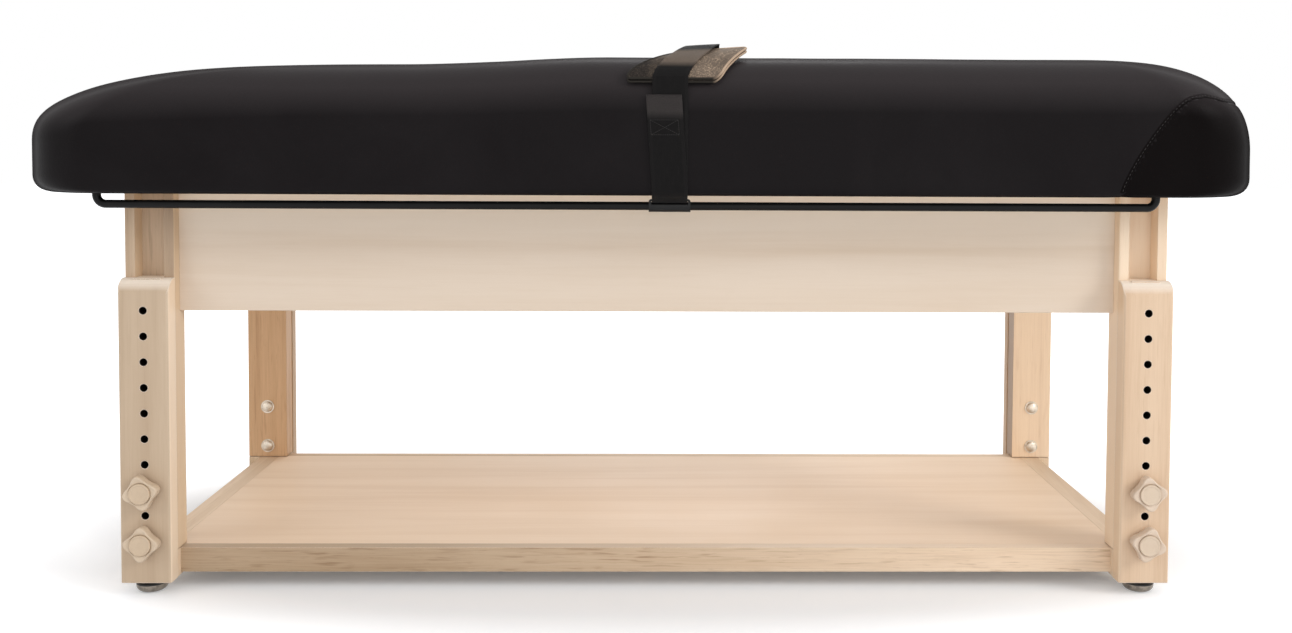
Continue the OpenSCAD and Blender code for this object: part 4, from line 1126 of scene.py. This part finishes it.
def pad_place(u, v, up):
    x = PAD_X + PAD_W * u + PAD_SKEW * v + PAD_TAPER * (1 - u) ** 2 * v
    return Vector((x, pad_y(v), pad_under(u, v) + up))


def pad_grid():
    """For each point of a pad layer, its face, its place in a square of -1..1 and in the plan."""
    for face in (-1, 1):
        for j in range(PAD_STEPS_V + 1):
            for i in range(PAD_STEPS_U + 1):
                s = sin(pi / 2 * (2 * i / PAD_STEPS_U - 1))
                t = sin(pi / 2 * (2 * j / PAD_STEPS_V - 1))
                yield face, s, t, *pad_plan(s, t)


def pad_layer(name, mid, material):
    full = PAD_FLAT_SHARE
    points = []
    for face, s, t, u, v in pad_grid():
        bulge = sqrt(max(0, (1 - s ** 8) * (1 - t ** 8)))
        dip = exp(-(((1 - max(abs(s), abs(t))) - QUILT_IN) / QUILT_W) ** 2)
        thick = PAD_T * (PAD_EDGE_SHARE + (full - PAD_EDGE_SHARE) * bulge) - QUILT_DIP * dip
        uneven = PAD_UNEVEN * noise.noise(Vector((u * 9, v * 6, mid)))
        points.append(pad_place(u, v, mid + face * (thick / 2 + uneven * bulge)))
    row = PAD_STEPS_U + 1
    grid = row * (PAD_STEPS_V + 1)
    faces = []
    for a in (j * row + i for j in range(PAD_STEPS_V) for i in range(PAD_STEPS_U)):
        faces.append((a, a + row, a + row + 1, a + 1))
        faces.append((a + grid, a + 1 + grid, a + row + 1 + grid, a + row + grid))
    border = (list(range(row))
              + [j * row + row - 1 for j in range(1, PAD_STEPS_V + 1)]
              + [PAD_STEPS_V * row + i for i in range(row - 2, -1, -1)]
              + [j * row for j in range(PAD_STEPS_V - 1, 0, -1)])
    for a, b in zip(border, border[1:] + border[:1]):
        faces.append((a, b, b + grid, a + grid))
    return piece(name, points, faces, material)


def blow_up(made):
    """Swells a pad's skin, held at its sewn edge. No point moves further than PAD_SWELL, and the
    result goes into the mesh."""
    held = [i for i, (_, _, _, u, v) in enumerate(pad_grid())
            if min(u, 1 - u) < HELD_U or min(v, 1 - v) < HELD_V]
    group = made.vertex_groups.new(name="sewn_edge")
    group.add(held, 1, "REPLACE")
    cloth = made.modifiers.new("air", "CLOTH")
    cloth.settings.vertex_group_mass = group.name
    for key, value in SKIN.items():
        setattr(cloth.settings, key, value)
    cloth.settings.effector_weights.gravity = 0
    cloth.point_cache.frame_start = 1
    cloth.point_cache.frame_end = SIM_FRAMES
    for step in range(1, SIM_FRAMES + 1):
        scene.frame_set(step)
    swollen = made.evaluated_get(bpy.context.evaluated_depsgraph_get()).data
    after = [v.co.copy() for v in swollen.vertices]
    made.modifiers.remove(cloth)
    made.vertex_groups.remove(group)
    scene.frame_set(1)
    for vertex, place in zip(made.data.vertices, after):
        way = place - vertex.co
        vertex.co += way * min(1, PAD_SWELL * MM / max(1e-9, way.length))
    made.data.update()


def pad_piping(name, mid, radius):
    path = []
    for cx, cy, start in ((1, -1, -90), (1, 1, 0), (-1, 1, 90), (-1, -1, 180)):
        for k in range(11):
            a = radians(start + 90 * k / 10)
            u = 0.5 + cx * (0.5 - PAD_CORNER / PAD_W) + cos(a) * PAD_CORNER / PAD_W
            v = 0.5 + cy * (0.5 - PAD_CORNER / PAD_L) + sin(a) * PAD_CORNER / PAD_L
            path.append((u, v))
    dense = []
    for (u, v), (p, q) in zip(path, path[1:] + path[:1]):
        count = max(1, int(hypot((p - u) * PAD_W, (q - v) * PAD_L) / 3))
        dense += [(u + (p - u) * k / count, v + (q - v) * k / count) for k in range(count)]
    rings = tube([pad_place(u, v, mid) for u, v in dense], radius)
    return shell(name, rings + rings[:1], piping_vinyl)


for made, node in ((pad_layer("pad_lower", PAD_LOW, pad_under_vinyl), "strap_pad_lower"),
                   (pad_layer("pad_upper", PAD_HIGH, pad_vinyl), "strap_pad_upper")):
    blow_up(made)
    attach(made, "strap")
    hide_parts(node)
for layer, mid, radius in PIPING:
    made = pad_piping("pad_" + layer + "_piping", mid, radius)
    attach(made, "strap")


# Star knobs

KNOB_D = 52
KNOB_WAIST = 39
KNOB_T = 15
KNOB_HUB_R = 13
KNOB_HUB_L = 6
KNOB_CAP_R = 15.5
KNOB_CAP_H = 1.6
KNOB_SIDES = 96
KNOB_RIM = 2.4
KNOB_RIM_FALL = 1.6
KNOB_DISH = 1.1
KNOB_HEEL = 2.2
LOBE_POWER = 1.35
CAP_BEAD = 1
CAP_FLOOR_R = KNOB_CAP_R - 4.4
CAP_FLOOR_DOME = 0.25
LEG_FACE = 317.5
KNOB_GAP = 0.3
# Each knob's side, face and turn in degrees
KNOBS = {
    "fl_upper": (-1, -1, 12), "fl_lower": (-1, -1, -1),
    "fr_upper": (1, -1, -7), "fr_lower": (1, -1, 15),
    "rl_upper": (-1, 1, 20), "rl_lower": (-1, 1, -25),
    "rr_upper": (1, 1, 33), "rr_lower": (1, 1, -10),
}


def knob_profile(a):
    """Radius and distance from the leg along the star's side at an angle."""
    reach = KNOB_WAIST / 2 + (KNOB_D - KNOB_WAIST) / 2 * (0.5 + 0.5 * cos(4 * a)) ** LOBE_POWER
    profile = [(KNOB_HUB_R, 0), (KNOB_HUB_R, KNOB_HUB_L - 1), (KNOB_HUB_R + 0.6, KNOB_HUB_L)]
    profile += [(reach - KNOB_HEEL + KNOB_HEEL * cos(a), KNOB_HUB_L + KNOB_HEEL + KNOB_HEEL * sin(a))
                for a in (radians(-90 + 90 * k / 4) for k in range(5))]
    top = KNOB_HUB_L + KNOB_T
    inner = KNOB_CAP_R + 1
    rim = reach - KNOB_RIM
    profile += [(rim + KNOB_RIM * cos(a), top - KNOB_RIM_FALL * KNOB_RIM * (1 - sin(a)))
                for a in (radians(90 * k / 7) for k in range(8))]
    profile += [(rim + (inner - rim) * k / 4, top - KNOB_DISH * smooth_step(k / 4))
                for k in range(1, 5)]
    return profile + [(KNOB_CAP_R + out, top - KNOB_DISH - down)
                      for out, down in ((0.45, 0.4), (0.25, 1.3), (-1.5, 1.3))]


def cap_profile(_):
    """The same for the bare cap, which is round."""
    base = KNOB_HUB_L + KNOB_T
    top = base + KNOB_CAP_H
    bead_r = KNOB_CAP_R - 0.1 - CAP_BEAD
    profile = [(KNOB_CAP_R - 0.1, base - 2.3)]
    for k in range(5):
        a = radians(90 * k / 4)
        profile.append((bead_r + CAP_BEAD * cos(a), top - CAP_BEAD + CAP_BEAD * sin(a)))
    profile += [(KNOB_CAP_R - 3, top - 0.1), (KNOB_CAP_R - 3.4, top - 0.35),
                (CAP_FLOOR_R, top - 0.4)]
    for k in range(1, 6):
        r = CAP_FLOOR_R * (1 - k / 5)
        profile.append((r, top - 0.4 + CAP_FLOOR_DOME * (1 - (r / CAP_FLOOR_R) ** 2)))
    return profile


def turned(name, profile_at, x, z, face, angle, material):
    """A round or lobed body along y, out of the leg's face. profile_at gives its side at an angle."""
    sides = []
    for a in (2 * pi * i / KNOB_SIDES for i in range(KNOB_SIDES)):
        way = a + radians(angle)
        sides.append([(x + r * cos(way), face * (LEG_FACE + KNOB_GAP + out),
                       z + r * sin(way)) for r, out in profile_at(a)])
    return shell(name, [ring if face < 0 else ring[::-1] for ring in zip(*sides)], material)


for key, (side, face, angle) in KNOBS.items():
    low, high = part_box("knob_" + key)
    x, z = (low[0] + high[0]) / 2 / MM, (low[2] + high[2]) / 2 / MM
    star = turned("star_" + key, knob_profile, x, z, face, -side * angle, star_plastic_lit_by_side[side])
    cap = turned("cap_" + key, cap_profile, x, z, face, -side * angle, cap_plastic_lit_by_side[side])
    for made in (star, cap):
        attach(made, "knob_" + key)
    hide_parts("knob_" + key)


# Floor, world and lamps. A pool round the table stays darker than the floor beyond it.

WHITE = (1, 1, 1, 1)
FLOOR_REACH = 15000
FLOOR_COLOUR = (0.87, 0.89, 0.92, 1)
FLOOR_GLOW = (0.1, 0.7)
FLOOR_POOL = (0.8, 0.38)
FLOOR_FADE = (1, 1.7)
WORLD_LIGHT = 0.73
LAMPS = (
    ("key", (4.6, -2.8, 3), (0, 0, 0.4), 2.4, 122, (1, 0.985, 0.96)),
    ("left", (-4.2, -3.2, 2.4), (0, 0, 0.4), 2.8, 38, (0.98, 0.99, 1)),
    ("front", (0.6, -5, 1.6), (0, 0, 0.5), 3.6, 36, (1, 1, 1)),
    ("rear", (0.3, 3.6, 2.4), (0, 0, 0.4), 2.4, 44, (1, 1, 1)),
)


def bare_nodes(owner):
    """An emptied node tree, and 1 for rays that see its surface as the background."""
    owner.use_nodes = True
    s = Nodes(owner.node_tree)
    s.tree.nodes.clear()
    rays = s.node("LightPath").outputs
    seen = s.most(rays["Is Camera Ray"], rays["Is Glossy Ray"])
    return s, s.most(seen, rays["Is Transmission Ray"])


floor_material = bpy.data.materials.new("floor")
s, seen = bare_nodes(floor_material)
pool = s.place(s.object_place(), (1 / FLOOR_POOL[0], 1 / FLOOR_POOL[1], 1))
reach = s.node("VectorMath", {0: pool}, operation="LENGTH").outputs["Value"]
spread = s.ramp(reach, *FLOOR_FADE, *FLOOR_GLOW, "SMOOTHSTEP")
glow = s.node("Emission", {"Strength": s.times(seen, spread)}).outputs[0]
matt = s.node("BsdfDiffuse", {"Color": FLOOR_COLOUR}).outputs[0]
s.node("OutputMaterial", {"Surface": s.node("AddShader", {0: matt, 1: glow}).outputs[0]})
floor = piece("floor", [(x * FLOOR_REACH, y * FLOOR_REACH, 0)
                        for x, y in ((-1, -1), (1, -1), (1, 1), (-1, 1))], [(0, 1, 2, 3)],
              floor_material)

scene.world = bpy.data.worlds.new("studio")
s, seen = bare_nodes(scene.world)
around, behind = (s.node("Background", {"Color": WHITE, "Strength": strength}).outputs[0]
                  for strength in (WORLD_LIGHT, 1))
choose = s.node("MixShader", {0: seen, 1: around, 2: behind}).outputs[0]
s.node("OutputWorld", {"Surface": choose})

for name, place, aim, size, power, colour in LAMPS:
    data = bpy.data.lights.new(name, "AREA")
    data.shape, data.size, data.energy, data.color = "DISK", size, power, colour
    lamp = bpy.data.objects.new(name, data)
    lamp.location = place
    lamp.rotation_euler = (Vector(aim) - Vector(place)).to_track_quat("-Z", "Y").to_euler()
    scene.collection.objects.link(lamp)
